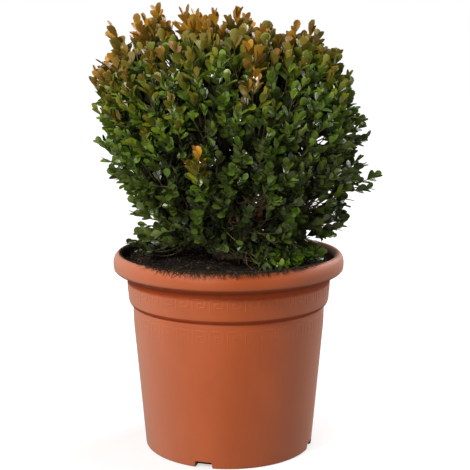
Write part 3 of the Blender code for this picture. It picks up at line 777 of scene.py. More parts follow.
# %% Scattering on the compost
# Each row holds a piece's name, its shape (stretch, roughness and seed), its finish, the seed
# and density of the scatter, its sizes, how far it tips over, and how far in it comes.
LITTER = (
    ("compost_crumbs", ((1.0, 0.8, 0.7), 0.9, 3.0), COMPOST, 5, 62000.0, (0.0012, 0.0042), 3.0, 0.0),
    ("bark_chips", ((1.5, 0.7, 0.28), 0.6, 8.0), BARK_CRUMB, 9, 7000.0, (0.0018, 0.0060), 0.5, 0.0),
    ("compost_fibres", ((3.4, 0.16, 0.16), 0.5, 5.0), BARK_CRUMB, 21, 9000.0, (0.0025, 0.0062), 0.35, 0.0),
    ("moss_blades", ((0.14, 0.09, 2.4), 0.5, 2.0), MOSS, 33, 36000.0, (0.0022, 0.0062), 0.45, 0.096),
    # The pale fibres stand partly for glints on fine twigs: their light colour is a painted highlight.
    ("dry_fibres", ((4.0, 0.09, 0.09), 0.5, 4.0), PAINTED_GLINT_FIBRE, 12, 2600.0, (0.0022, 0.0040), 0.5, 0.0),
)


def real_and_painted(tree, instances, material):
    """Makes instances real and gives them a material."""
    real = put(tree, "GeometryNodeRealizeInstances", {"Geometry": instances}).outputs["Geometry"]
    return put(tree, "GeometryNodeSetMaterial", {"Geometry": real, "Material": material}).outputs["Geometry"]


def scatter_tree():
    """Lays copies of a shape on a surface, turned and sized at random."""
    inputs = {"Geometry": "Geometry", "Shape": "Object", "Finish": "Material", "Seed": "Int"}
    inputs |= dict.fromkeys(("Density", "Smallest", "Largest", "Tip Over"), "Float")
    tree, given, result = node_group("scatter", "GeometryNodeTree", inputs, {"Geometry": "Geometry"})
    seed, tip = given["Seed"], given["Tip Over"]
    spread = {"Mesh": given["Geometry"], "Density": given["Density"], "Seed": seed}
    points = put(tree, "GeometryNodeDistributePointsOnFaces", spread).outputs["Points"]
    shape = put(tree, "GeometryNodeObjectInfo", {"Object": given["Shape"]}).outputs["Geometry"]
    sizes = {2: given["Smallest"], 3: given["Largest"], "Seed": seed}
    size = put(tree, "FunctionNodeRandomValue", sizes, data_type="FLOAT").outputs[1]
    back = math_node(tree, "MULTIPLY", tip, -1.0)
    least = put(tree, "ShaderNodeCombineXYZ", {"X": back, "Y": back}).outputs["Vector"]
    most = put(tree, "ShaderNodeCombineXYZ", {"X": tip, "Y": tip, "Z": 2.0 * math.pi}).outputs["Vector"]
    turn = put(tree, "FunctionNodeRandomValue", {0: least, 1: most, "Seed": seed}, data_type="FLOAT_VECTOR")
    copies = {"Points": points, "Instance": shape, "Rotation": turn.outputs[0], "Scale": size}
    laid = put(tree, "GeometryNodeInstanceOnPoints", copies).outputs["Instances"]
    feed(tree, result, {"Geometry": real_and_painted(tree, laid, given["Finish"])})
    return tree


SCATTER = scatter_tree()


def lump(stretch, roughness, seed):
    """A small stone-like lump with an uneven skin, about 1 across before it is stretched."""
    bm = bmesh.new()
    bmesh.ops.create_icosphere(bm, subdivisions=1, radius=0.5)
    for vert in bm.verts:
        shove = 1.0 + roughness * noise.noise(vert.co * 3.1 + Vector((seed, 0.0, 0.0)))
        vert.co = Vector(x * s for x, s in zip(vert.co, stretch)) * shove
    return mesh_piece("lump", bm)


def compost_top(name, least_radius):
    """A copy of the compost's upper faces, without those nearer the middle than a radius."""
    bm = bmesh.new()
    bm.from_mesh(soil.data)

    def unwanted(face):
        """Whether a face is a side, or lies below the top or too near the middle."""
        middle = face.calc_center_median()
        return face.normal.z < 0.5 or middle.z < LIP_FLARE_TOP + 0.002 or middle.xy.length < least_radius

    bmesh.ops.delete(bm, geom=[face for face in bm.faces if unwanted(face)], context="FACES")
    return mesh_piece(name, bm)


for name, form, finish, seed, density, sizes, tip_over, least_radius in LITTER:
    shape = lump(*form)
    values = {"Shape": shape, "Finish": finish, "Seed": seed, "Density": density}
    values |= {"Smallest": sizes[0], "Largest": sizes[1], "Tip Over": tip_over}
    litter = baked(with_nodes(compost_top(name, least_radius), SCATTER, values), name)
    bpy.data.objects.remove(shape)
    finish_piece(litter)

# %% [markdown]
# ## Moss over the lip
# Fine moss and old roots line the inside of the lip, from the front right round to the back
# left. At the front they have grown over the lip's crest and blur it. Each strand rises from the
# compost, follows the lip's oval and ends in a thin tip that curls along the rim. It keeps a
# hair's breadth off the plastic. A table says how far the strands reach: at a turn round the
# pot, the angle of the lip's oval where the shortest end, and how much further the longest go.

# %% Strands over the crest
MOSS_COUNT, MOSS_STEPS = 3000, 5
MOSS_FRINGE = (
    (-218.0, 117.0, 26.0), (-150.0, 115.0, 30.0), (-138.0, 104.0, 44.0), (-128.0, 90.0, 54.0),
    (-120.0, 80.0, 60.0), (-112.0, 70.0, 54.0), (-102.0, 62.0, 47.0), (-92.0, 66.0, 46.0),
    (-72.0, 67.0, 44.0), (-64.0, 70.0, 42.0), (-57.0, 76.0, 38.0), (-46.0, 82.0, 30.0), (-38.0, 100.0, 24.0),
)
MOSS_ROOT_RADIUS, MOSS_SWAY = 0.1068, 3.2
MOSS_CLEAR, MOSS_SPREAD, MOSS_LIFT = 0.00045, 0.0006, 0.0004
MOSS_RADII = (0.00040, 0.00008)
moss_rng = np.random.default_rng(3)


def lip_place(turn, angle, above):
    """A place over the lip's crown at an angle of its oval, round the pot by a turn."""
    radius = LIP_CROWN_RADIUS + (LIP_CROWN_REACH + above) * math.cos(math.radians(angle))
    height = LIP_WIDEST + (LIP_CROWN_RISE + above) * math.sin(math.radians(angle))
    return Vector((radius * math.cos(math.radians(turn)), radius * math.sin(math.radians(turn)), height))


def moss_strands():
    """Points and radii of each strand."""
    turns, starts, spreads = zip(*MOSS_FRINGE)
    for _ in range(MOSS_COUNT):
        turn = moss_rng.uniform(turns[0], turns[-1])
        sway = moss_rng.normal(0.0, MOSS_SWAY)
        last = np.interp(turn, turns, starts) - np.interp(turn, turns, spreads) * moss_rng.random() ** 2
        root = Vector((MOSS_ROOT_RADIUS, 0.0, SOIL_EDGE - 0.001))
        root.rotate(Matrix.Rotation(math.radians(turn), 3, "Z"))
        points = [root]
        for share in np.linspace(0.0, 1.0, MOSS_STEPS + 1):
            angle = LIP_INNER_ANGLE + (last - LIP_INNER_ANGLE) * share
            lifted = MOSS_CLEAR + moss_rng.uniform(0.0, MOSS_SPREAD) + MOSS_LIFT * share
            points.append(lip_place(turn + sway * share**2, angle, lifted))
        yield points, list(np.linspace(*MOSS_RADII, len(points)))


finish_piece(strands_piece("rim_moss", moss_strands(), MOSS))

# %% [markdown]
# ## The plant's plan
# The solids were grown by a rule, and the finer growth here follows the same one. The crown is a
# rounded barrel that leans a little to the left as it rises. Thirteen masses share it, one on
# top and two rings of six, and each has a limb whose tip it takes over from. The sizes are
# those of the solids, so that the finer wood starts where the coarse wood ends.

# %% Crown, masses and limbs
CROWN_MIDDLE, CROWN_RADIUS = 0.335, 0.1315
CROWN_RISE, CROWN_DROP = 0.1150, 0.160
UPPER_SQUARENESS, LOWER_SQUARENESS = 2.75, 2.0
CROWN_LEAN, CROWN_SHIFT = -0.13, 0.0015
LEAF_OVERHANG = 0.012
RING_COUNT, RING_RADIUS = 6, 0.092
# Each row holds a ring, its height and first turn, and how far out and up its limbs' tips are.
RINGS = (("upper", 0.362, -60.0, 0.039, 0.343), ("lower", 0.262, -90.0, 0.034, 0.247))
TOP_MASS_HEIGHT, TOP_HOLLOW_HEIGHT, LEADER_SHORT_OF_MASS = 0.430, 0.385, 0.004
CLEFT_TURN, CLEFT_HEIGHT = -60.0, 0.262
SIDE_STEM_TIP = (0.050, 0.300)
HUB_SHARE = 0.4
RIM_FLOOR, SOIL_FLOOR, RIM_INNER_RADIUS = 0.2078, 0.2022, 0.1050


def lean_at(height):
    """How far the crown's middle is off the axis at a height."""
    return CROWN_SHIFT + CROWN_LEAN * (height - CROWN_MIDDLE)


def bearing(turn):
    """The level direction at a turn, in degrees."""
    angle = math.radians(turn)
    return Vector((math.cos(angle), math.sin(angle), 0.0))


def crown_level(point, inset=0.0):
    """Under 1 inside the crown's outline, 1 on it, over 1 outside. An inset shrinks it."""
    radius = math.hypot(point.x - lean_at(point.z), point.y) / (CROWN_RADIUS - inset)
    rise = point.z - CROWN_MIDDLE
    power = UPPER_SQUARENESS if rise > 0 else LOWER_SQUARENESS
    reach = (CROWN_RISE if rise > 0 else CROWN_DROP) - inset
    return (radius**power + (abs(rise) / reach) ** power) ** (1.0 / power)


def crown_surface(direction):
    """The outline's point in a direction from the crown's middle, by halving."""
    near, far = 0.0, 0.4
    middle = Vector((0.0, 0.0, CROWN_MIDDLE))
    for _ in range(22):
        half = 0.5 * (near + far)
        if crown_level(middle + direction * half) < 1.0:
            near = half
        else:
            far = half
    return middle + direction * near


def crown_normal(point):
    """The direction in which the crown's level rises fastest."""
    step = 1e-4
    here = crown_level(point)
    slope = [crown_level(point + Vector(axis) * step) - here for axis in np.eye(3)]
    return Vector(slope).normalized()


COMPASS = {-90: "front", -60: "front_right", -30: "front_right_side", 0: "right"}
COMPASS |= {30: "back_right_side", 60: "back_right", 90: "back", 120: "back_left"}
COMPASS |= {150: "back_left_side", 180: "left", 210: "front_left_side", 240: "front_left"}


def cleft_at(reach, height):
    """A place in the cleft between two lower masses, where the side stem rises."""
    return Vector((lean_at(CLEFT_HEIGHT), 0.0, 0.0)) + bearing(CLEFT_TURN) * reach + UP * height


def plan_masses():
    """Each mass's seed, limb tip and hub, by name. The hub is where its twigs branch."""
    top = Vector((lean_at(TOP_MASS_HEIGHT), 0.0, TOP_MASS_HEIGHT))
    top_tip = Vector((lean_at(TOP_HOLLOW_HEIGHT), 0.0, TOP_HOLLOW_HEIGHT - LEADER_SHORT_OF_MASS))
    masses = {"foliage_top": (top, top_tip)}
    for ring, height, first_turn, tip_reach, tip_height in RINGS:
        for i in range(RING_COUNT):
            turn = first_turn + i * 360.0 / RING_COUNT
            out = bearing(turn)
            seed = out * RING_RADIUS + UP * height + Vector((lean_at(height), 0.0, 0.0))
            tip = out * tip_reach + UP * tip_height
            masses[f"foliage_{ring}_{COMPASS[round(turn)]}"] = (seed, tip)
    seed, _ = masses["foliage_upper_front_right"]
    masses["foliage_upper_front_right"] = (seed, cleft_at(*SIDE_STEM_TIP))
    return {name: (seed, tip, seed.lerp(tip, HUB_SHARE)) for name, (seed, tip) in masses.items()}


MASSES = plan_masses()
print("masses", len(MASSES))

# %% [markdown]
# ## Paths of the limbs
# A limb's path is a Bezier curve through four places, as in the solids: it leaves its parent one
# way and arrives at its mass another. Here each path also runs on to the hub of its mass, so the
# wood has no break where the finer twigs begin.

# %% Limb paths
STEM_HEIGHT, STEM_RADIUS = 0.040, 0.0095
FLARE_RADIUS, FLARE_HEIGHT = 0.0165, 0.014
STEM_STEPS = (0.0, 0.35, 1.0, 1.9)
STEM_RADII = (FLARE_RADIUS, FLARE_RADIUS * 0.78, STEM_RADIUS * 1.12, STEM_RADIUS, STEM_RADIUS * 0.93)
STEM_LEAN = -0.10
BOUGH_RADIUS, LEADER_RADIUS, SIDE_STEM_RADIUS = 0.0036, 0.0046, 0.0030
TIP_SHARE = 0.62
SIDE_STEM_FOOT, SIDE_STEM_BEND = (0.042, SOIL_TOP - 0.002), (0.039, 0.235)
BOUGH_STARTS = {"upper": (0.033, 0.050), "lower": (0.018, 0.012)}
BOUGH_OUT, LEADER_SINK, STRAIGHT_END = 0.006, 0.003, 0.004
LIMB_POINTS = 10


def bezier(knots, count):
    """Points along a Bezier curve through four knots."""
    a, b, c, d = (Vector(knot) for knot in knots)
    for i in range(count):
        t = i / (count - 1)
        s = 1.0 - t
        yield a * s**3 + b * (3 * s * s * t) + c * (3 * s * t * t) + d * t**3


def stem_path():
    """Places up the main stem, from the compost to its fork."""
    foot = SOIL_TOP + SOIL_GAP
    heights = [foot + step * FLARE_HEIGHT for step in STEM_STEPS]
    heights.append(SOIL_TOP + STEM_HEIGHT)
    leans = [0.0, 0.0, 0.0, STEM_LEAN * FLARE_HEIGHT * 0.9]
    leans.append(leans[-1] + STEM_LEAN * (heights[-1] - heights[-2]))
    return [Vector((lean, 0.0, height)) for lean, height in zip(leans, heights)]


STEM_PATH = stem_path()


def stem_at(height):
    """The main stem's middle and radius at a height."""
    heights = [point.z for point in STEM_PATH]
    x = float(np.interp(height, heights, [point.x for point in STEM_PATH]))
    return Vector((x, 0.0, height)), float(np.interp(height, heights, STEM_RADII))


def path_to(name, start, bend, ease):
    """From start to the limb's tip, straight on into the mass, and on to its hub."""
    _, tip, hub = MASSES[name]
    inward = (hub - tip).normalized()
    last = tip - inward * STRAIGHT_END
    return [*bezier((start, bend, last - inward * ease, last), LIMB_POINTS), tip, hub]


def bough(name, out, start_height, lift):
    """A bough's path: it leaves the main stem on one side and rises before it turns outwards."""
    rise = (out * BOUGH_OUT + UP * lift).normalized()
    middle, radius = stem_at(start_height)
    start = middle + out * (radius - 0.5 * BOUGH_RADIUS)
    return path_to(name, start, start + rise * lift, 0.3 * (MASSES[name][1] - start).length)


def plan_limbs():
    """Path and root radius of each limb, by its node's name."""
    onward = (STEM_PATH[-1] - STEM_PATH[-2]).normalized()
    foot = STEM_PATH[-1] - onward * LEADER_SINK
    leader = path_to("foliage_top", foot, foot + onward * 0.05, 0.05)
    foot, bend = cleft_at(*SIDE_STEM_FOOT), cleft_at(*SIDE_STEM_BEND)
    side_stem = path_to("foliage_upper_front_right", foot, bend, 0.03)
    limbs = {"bough_leader": (leader, LEADER_RADIUS), "side_stem": (side_stem, SIDE_STEM_RADIUS)}
    turns = {word: turn for turn, word in COMPASS.items()}
    for name in MASSES:
        if name in ("foliage_top", "foliage_upper_front_right"):
            continue
        _, ring, side = name.split("_", 2)
        rise, lift = BOUGH_STARTS[ring]
        path = bough(name, bearing(turns[side]), SOIL_TOP + rise, lift)
        limbs[name.replace("foliage", "bough")] = (path, BOUGH_RADIUS)
    return limbs


LIMBS = plan_limbs()
print("limbs", len(LIMBS) + 1)

# %% [markdown]
# ## Bark
# Old box wood has thin, pale brown bark that cracks into small plates, and the young side stem
# at the front is redder and smoother. Bump alone would leave a smooth outline, so the skin of
# each tube is raised and lowered in the mesh: upright ridges that wander, and swellings where
# old twigs were cut.

# %% Bark materials
BARK_MOTTLE = ((1.0, 1.0, 0.35), 260.0, 900.0, 0.38, 0.60)


def bark(name, crack, plate, roughness):
    """A bark that is darker in its cracks than on its plates."""
    return speckled(name, crack, plate, roughness, BARK_MOTTLE, 0.0005)


OLD_BARK = bark("old_bark", (0.030, 0.017, 0.010), (0.150, 0.088, 0.048), 0.85)
RED_BARK = bark("red_bark", (0.20, 0.070, 0.020), (0.60, 0.26, 0.090), 0.65)
TWIG_BARK = bark("twig_bark", (0.050, 0.028, 0.014), (0.165, 0.096, 0.048), 0.75)
SHOOT_SKIN = bark("shoot_skin", (0.045, 0.045, 0.014), (0.125, 0.098, 0.034), 0.6)
print("barks", [made.name for made in (OLD_BARK, RED_BARK, TWIG_BARK, SHOOT_SKIN)])

# %% Tubes with raised bark
RING_STEP, SMOOTHINGS = 0.0016, 6
RIDGES_AROUND, RIDGES_ALONG, RIDGE_SHARE = 2.2, 60.0, 0.11
SWELLINGS_ALONG, SWELLING_SHARE = 45.0, 0.30
ROOTS, ROOT_SHARE, ROOT_HOLLOW = 4.0, 0.16, 0.4


def resampled(path, radii, step):
    """Evenly spaced points and radii along a smooth curve through the path."""
    points = np.array([tuple(p) for p in path])
    lengths = np.r_[0.0, np.cumsum(np.linalg.norm(np.diff(points, axis=0), axis=1))]
    count = max(3, int(lengths[-1] / step))
    at = np.linspace(0.0, lengths[-1], count)
    fine = np.stack([np.interp(at, lengths, points[:, i]) for i in range(3)], axis=1)
    for _ in range(SMOOTHINGS):
        fine[1:-1] = 0.25 * fine[:-2] + 0.5 * fine[1:-1] + 0.25 * fine[2:]
    return [Vector(p) for p in fine], list(np.interp(at, lengths, radii))


def bark_skin(angle, along, seed):
    """How far the skin stands from the tube's radius, as a share of it."""
    across, outward = math.cos(angle) * RIDGES_AROUND, math.sin(angle) * RIDGES_AROUND
    ridges = noise.fractal(Vector((across, outward, along * RIDGES_ALONG + seed)), 0.8, 2.2, 4)
    swelling = max(0.0, noise.noise(Vector((0.0, seed * 3.7, along * SWELLINGS_ALONG)))) ** 2
    return RIDGE_SHARE * ridges + SWELLING_SHARE * swelling


def bark_tube(bm, path, radii, sides, seed, flare=0.0):
    """Adds a closed tube with raised bark to a bmesh. A flare spreads its foot into roots."""
    points, sizes = resampled(path, radii, RING_STEP)
    side = Vector((1.0, 0.0, 0.0))
    rings, along = [], 0.0
    for i, (point, size) in enumerate(zip(points, sizes)):
        ahead = points[min(i + 1, len(points) - 1)] - points[max(i - 1, 0)]
        ahead.normalize()
        side = (side - ahead * side.dot(ahead)).normalized()
        other = ahead.cross(side)
        along += (point - points[i - 1]).length if i else 0.0
        buttress = flare * max(0.0, 1.0 - along / FLARE_HEIGHT)
        ring = []
        for k in range(sides):
            angle = 2.0 * math.pi * k / sides
            reach = size * (1.0 + bark_skin(angle, along, seed))
            reach *= 1.0 + buttress * (math.cos(ROOTS * angle + seed) - ROOT_HOLLOW)
            ring.append(bm.verts.new(point + (side * math.cos(angle) + other * math.sin(angle)) * reach))
        rings.append(ring)
    bridge(bm, rings)
    bm.faces.new(list(reversed(rings[0])))
    bm.faces.new(rings[-1])


def limb_tube(name, sides, seed):
    """What bark_tube needs for a limb, which thins evenly to its end."""
    path, root = LIMBS[name]
    radii = [root + (root * TIP_SHARE - root) * i / (len(path) - 1) for i in range(len(path))]
    return path, radii, sides, seed


def bark_piece(name, tubes, material, replaced):
    """One piece of tubes, in place of the solids of that wood."""
    bm = bmesh.new()
    for tube in tubes:
        bark_tube(bm, *tube)
    made = mesh_piece(name, bm, material)
    made.data.shade_smooth()
    return finish_piece(made, replaced)


low_stem = [STEM_PATH[0] - UP * 0.004, *STEM_PATH]
stem_tube = (low_stem, [FLARE_RADIUS * 1.02, *STEM_RADII], 40, 2.0, ROOT_SHARE)
bough_names = [name for name in LIMBS if name.startswith("bough")]
bough_tubes = [limb_tube(name, 14, 11.0 + number) for number, name in enumerate(bough_names)]
bark_piece("main_stem_bark", [stem_tube], OLD_BARK, ["main_stem"])
bark_piece("side_stem_bark", [limb_tube("side_stem", 18, 7.0)], RED_BARK, ["side_stem"])
bark_piece("boughs_bark", bough_tubes, OLD_BARK, bough_names)

# %% [markdown]
# ## Sprays
# A clipped box plant isn't an even fur of leaves. Each small branch carries a spray of shoots
# that fan out from it and end near one surface, and dark clefts run between the sprays. So the
# outline is first shared among sprays, some 25 mm apart. Each has its own depth and its own
# drift in tint, and here and there one is missing, which leaves a pit that shows the wood.

# %% Spray plan
SEED = 41
SPRAY_CANDIDATES, SPRAY_SPACING = 2400, 0.0235
SPRAY_RADIUS = 0.0135
SPRAY_SHAKE, SPRAY_DRIFT = 0.06, 0.15
SPRAY_DEPTHS = (-0.001, 0.009)
EDGE_DROP, EDGE_LIMIT = 0.0070, 1.3
PIT_SHARE = 0.12
TOP_DROP, TOP_DROP_FROM, TOP_DROP_TO = 0.017, 0.405, 0.440

rng = np.random.default_rng(SEED)


def spread_directions(count, turn):
    """Evenly spread directions, from the top down, by the golden angle."""
    golden = math.pi * (3.0 - math.sqrt(5.0))
    for i in range(count):
        height = 1.0 - 2.0 * (i + 0.5) / count
        level = math.sqrt(1.0 - height * height)
        angle = golden * i + turn
        yield Vector((level * math.cos(angle), level * math.sin(angle), height))


def far_from(found, point, spacing):
    """Whether a place keeps its distance from all that were found before."""
    return not found or min((point - other).length for other in found) >= spacing


def plan_sprays():
    """(place, depth, tint drift, whether it is a pit) of each spray."""
    places, sprays = [], []
    for direction in spread_directions(SPRAY_CANDIDATES, 0.4):
        shaken = (direction + Vector(rng.uniform(-1.0, 1.0, 3)) * SPRAY_SHAKE).normalized()
        place = crown_surface(shaken)
        if place.z < SOIL_FLOOR or not far_from(places, place, SPRAY_SPACING):
            continue
        lowered = TOP_DROP * float(np.interp(place.z, (TOP_DROP_FROM, TOP_DROP_TO), (0.0, 1.0)))
        places.append(place)
        depth = rng.uniform(*SPRAY_DEPTHS) + lowered
        drift = rng.normal(0.0, SPRAY_DRIFT)
        sprays.append((place, depth, drift, rng.random() < PIT_SHARE))
    return sprays


SPRAYS = plan_sprays()
SPRAY_PLACES = np.array([tuple(spray[0]) for spray in SPRAYS])
print("sprays", len(SPRAYS), "pits", sum(spray[3] for spray in SPRAYS))

# %% [markdown]
# ## Where shoots end
# The golden angle spreads directions evenly, and a spacing rule thins them. The middle shoot of
# a spray ends highest, and the ones round it end lower and lean away. Two more sets of shorter
# shoots end deeper in, and close most of the view into the bare middle. Dark pits, the bare
# compost and the side stem show in the photograph, so no shoot may end in front of them.

# %% Shoot plan
# Each row holds a layer, its candidates, its spacing and the length of its shoots.
SHOOT_LAYERS = (("outer", 4200, 0.0122, 0.044), ("inner", 1600, 0.0180, 0.034), ("core", 1300, 0.0180, 0.034))
DEPTHS = {"inner": (0.027, 0.042), "core": (0.052, 0.074)}
OUTWARD, UPWARD, FAN, WANDER = 0.8, (0.40, 0.55), 0.40, 0.22
UPRIGHT_FROM, UPRIGHT_RANGE = 0.26, 0.16
BOX_MARGIN = 0.0005
PIT_RADIUS, PIT_LEAF_RADIUS = 0.0125, 0.0080
PITS_IN_FRONT_OF = -0.020
# Where the camera sees the dark pits, as (x, z) of the plane through the axis.
FRONT_PITS = (
    (0.055, 0.379), (-0.051, 0.320), (-0.004, 0.314), (-0.081, 0.360), (0.074, 0.309),
    (-0.026, 0.324), (-0.029, 0.342), (-0.068, 0.280), (-0.106, 0.344), (0.012, 0.390),
    (-0.020, 0.376), (-0.048, 0.253), (-0.002, 0.236), (0.046, 0.237), (0.064, 0.262),
    (-0.012, 0.292), (0.032, 0.330), (-0.051, 0.296), (0.065, 0.358), (-0.095, 0.406),
    (0.006, 0.412), (0.028, 0.362), (-0.018, 0.244), (-0.018, 0.228), (0.004, 0.222),
    (0.034, 0.226), (0.034, 0.242), (0.008, 0.248),
)
SPARSE_HEIGHTS, SPARSE_CHANCES = (0.205, 0.225, 0.240, 0.265), (0.80, 0.72, 0.42, 0.0)
# Each row holds the sides of a stretch of bare compost, and how high it shows.
BARE_FOOT = ((-0.080, -0.022, 0.2120), (-0.022, 0.028, 0.2030))
STEM_WINDOW = ((0.0325, 0.262), (0.0322, 0.253), (0.0320, 0.244), (0.0318, 0.234))
STEM_WINDOW_RADIUS, IN_FRONT_OF_STEM = 0.0066, -0.040


# A shoot's reach is how far past the crown's outline its leaves may go.
Shoot = namedtuple("Shoot", "tip axis length reach layer drift")


def shoot_axis(normal, height, aside):
    """Shoots grow out and up, more upright near the top, and fan out from their spray's middle."""
    lift = UPWARD[0] + UPWARD[1] * min(max((height - UPRIGHT_FROM) / UPRIGHT_RANGE, 0.0), 1.0)
    drift = Vector(rng.uniform(-1.0, 1.0, 3)) * WANDER
    return (normal * OUTWARD + UP * lift + aside * FAN + drift).normalized()


def holds(point, reach):
    """Whether a place is in the crown's reach, above the compost and the lip, and in the box."""
    radius = math.hypot(point.x, point.y)
    floor_height = RIM_FLOOR if radius > RIM_INNER_RADIUS else SOIL_FLOOR
    if point.z < floor_height or crown_level(point, -reach) > 1.0:
        return False
    return all(low + BOX_MARGIN < x < high - BOX_MARGIN for low, x, high in zip(CAD_LOW, point, CAD_HIGH))


def shown_at(point):
    """Where the camera sees a place, as (x, z) of the plane through the axis."""
    ray = point - camera.location
    scale = -camera.location.y / ray.y
    return camera.location.x + ray.x * scale, camera.location.z + ray.z * scale


def in_front_pit(point, radius):
    """Whether a place on the front lies in one of the dark pits that the photograph shows."""
    if point.y >= PITS_IN_FRONT_OF:
        return False
    x, z = shown_at(point)
    return any(math.hypot(x - px, z - pz) < radius for px, pz in FRONT_PITS)


def kept_open(point):
    """Whether a place hides the side stem, or the bare compost at the front and left."""
    x, z = shown_at(point)
    if point.y < 0.0 and any(left < x < right and z < below for left, right, below in BARE_FOOT):
        return True
    hides = any(math.hypot(x - px, z - pz) < STEM_WINDOW_RADIUS for px, pz in STEM_WINDOW)
    return hides and point.y < IN_FRONT_OF_STEM


def plan_shoots(turn, layer, candidates, spacing, length):
    """The shoots of a layer that have room. A shoot's drift is how far its tint drifts."""
    tips = []
    for direction in spread_directions(candidates, turn):
        surface = crown_surface(direction)
        chance, jitter = rng.random(), rng.uniform(-0.002, 0.002)
        sparse = float(np.interp(surface.z, SPARSE_HEIGHTS, SPARSE_CHANCES))
        if surface.z < SOIL_FLOOR + 0.006 or (layer == "outer" and chance < sparse):
            continue
        nearest = int(np.argmin(np.linalg.norm(SPRAY_PLACES - np.array(surface), axis=1)))
        middle, depth, drift, pit = SPRAYS[nearest]
        hidden_pit = pit and surface.y > PITS_IN_FRONT_OF
        if layer == "outer" and (hidden_pit or in_front_pit(surface, PIT_RADIUS)):
            continue
        aside = (surface - middle) / SPRAY_RADIUS
        if layer == "outer":
            depth += EDGE_DROP * min(aside.length, EDGE_LIMIT) ** 2 + jitter
        else:
            depth = float(rng.uniform(*DEPTHS[layer]))
        axis = shoot_axis(crown_normal(surface), surface.z, aside)
        tip = surface - axis * depth
        if far_from(tips, tip, spacing) and holds(tip, LEAF_OVERHANG) and not kept_open(tip):
            tips.append(tip)
            yield Shoot(tip, axis, length * rng.uniform(0.85, 1.1), LEAF_OVERHANG, layer, drift)


free_shoots = []
for turn, layer in enumerate(SHOOT_LAYERS):
    found = list(plan_shoots(float(turn), *layer))
    free_shoots += found
    print(layer[0], "shoots", len(found))

# %% [markdown]
# ## Tufts and sprays that give the outline its character
# Some shoots have outgrown the shears, and the eye knows the plant by them: a row of tufts on
# top, a long spray at the right, and low sprays over the lip. Each is placed by where the camera
# sees its end, as if it stood in the plane through the axis, and by how far behind that plane it
# really is. Shorter companions stand round each. Last, short shoots lie down over the compost.

# %% Placed tufts
# Each row holds a tuft's name, the (x, z) of its end, how far behind the plane through the axis
# it stands, and the number of its companions.
TUFTS = (
    ("far_left", -0.1195, 0.4438, -0.010, 2),
    ("far_left_low", -0.1185, 0.4240, 0.012, 2),
    ("left_twin_a", -0.0945, 0.4485, 0.020, 2),
    ("left_twin_b", -0.0860, 0.4515, -0.025, 3),
    ("tallest", -0.0740, 0.4598, -0.012, 3),
    ("mid_left", -0.0450, 0.4580, -0.030, 3),
    ("mid_left_low", -0.0330, 0.4540, 0.015, 3),
    ("middle", -0.0145, 0.4558, -0.045, 4),
    ("middle_low", -0.0013, 0.4446, 0.030, 2),
    ("mid_right", 0.0090, 0.4578, -0.015, 3),
    ("mid_right_low", 0.0175, 0.4520, 0.040, 2),
    ("right_a", 0.0340, 0.4395, -0.050, 3),
    ("right_b", 0.0440, 0.4415, 0.010, 2),
    ("right_c", 0.0590, 0.4340, -0.030, 2),
    ("right_tall", 0.0710, 0.4440, 0.005, 3),
    ("right_d", 0.0855, 0.4410, -0.040, 3),
    ("right_e", 0.0925, 0.4335, 0.012, 2),
    ("right_shoulder_a", 0.1050, 0.4138, -0.030, 3),
    ("right_shoulder_b", 0.1130, 0.4142, 0.008, 2),
    ("right_shoulder_c", 0.1245, 0.3940, -0.012, 2),
    ("right_shoulder_d", 0.1270, 0.3860, 0.010, 1),
    ("left_shoulder_a", -0.1300, 0.3990, -0.015, 2),
    ("left_shoulder_b", -0.1385, 0.3985, 0.010, 1),
    ("left_point", -0.1400, 0.3870, -0.050, 1),
    ("left_side_a", -0.1405, 0.3590, -0.008, 2),
    ("left_side_b", -0.1370, 0.3250, 0.006, 2),
    ("front_amber", -0.0345, 0.3170, -0.128, 1),
    ("front_amber_low", -0.0370, 0.3010, -0.127, 0),
)
# The same for each side spray, which has its direction in place of the number.
SIDE_SPRAYS = (
    ("right_upper", 0.1375, 0.3610, 0.004, (0.75, 0.0, 0.60)),
    ("right_round", 0.1405, 0.3440, -0.010, (0.85, 0.0, 0.40)),
    ("right_middle", 0.1475, 0.3262, 0.008, (0.85, 0.0, 0.35)),
    ("right_lower", 0.1425, 0.2980, -0.004, (0.85, 0.0, 0.50)),
    ("right_long", 0.1590, 0.2870, -0.015, (0.90, 0.0, 0.36)),
    ("right_long_twin", 0.1520, 0.2730, -0.018, (0.90, 0.0, 0.12)),
    ("low_right", 0.1250, 0.2420, -0.015, (0.85, -0.1, 0.30)),
    ("low_right_hang", 0.1190, 0.2290, -0.020, (0.90, -0.1, -0.10)),
    ("low_right_leaf", 0.1025, 0.2180, -0.016, (0.80, -0.1, -0.65)),
    ("left_low_side", -0.1260, 0.2900, 0.000, (-0.85, 0.0, 0.45)),
    ("left_side_c", -0.1335, 0.3230, -0.012, (-0.85, 0.0, 0.50)),
    ("left_foot_upper", -0.1040, 0.2600, 0.004, (-0.85, 0.0, 0.35)),
    ("left_foot_side", -0.1030, 0.2470, -0.010, (-0.85, 0.0, 0.30)),
    ("left_foot_sprig", -0.0910, 0.2370, -0.025, (-0.80, -0.1, 0.40)),
    ("low_left", -0.0990, 0.2270, -0.020, (-0.75, -0.1, 0.20)),
    ("low_left_twig", -0.1060, 0.2160, -0.012, (-0.80, 0.1, -0.10)),
    ("centre_foot", 0.0165, 0.2230, -0.070, (0.10, -0.6, 0.70)),
    ("inside_right_a", 0.0870, 0.2130, -0.045, (0.55, -0.5, 0.15)),
    ("inside_right_b", 0.0760, 0.2050, -0.060, (0.45, -0.6, 0.10)),
    ("inside_right_c", 0.0600, 0.2010, -0.072, (0.30, -0.7, 0.05)),
)
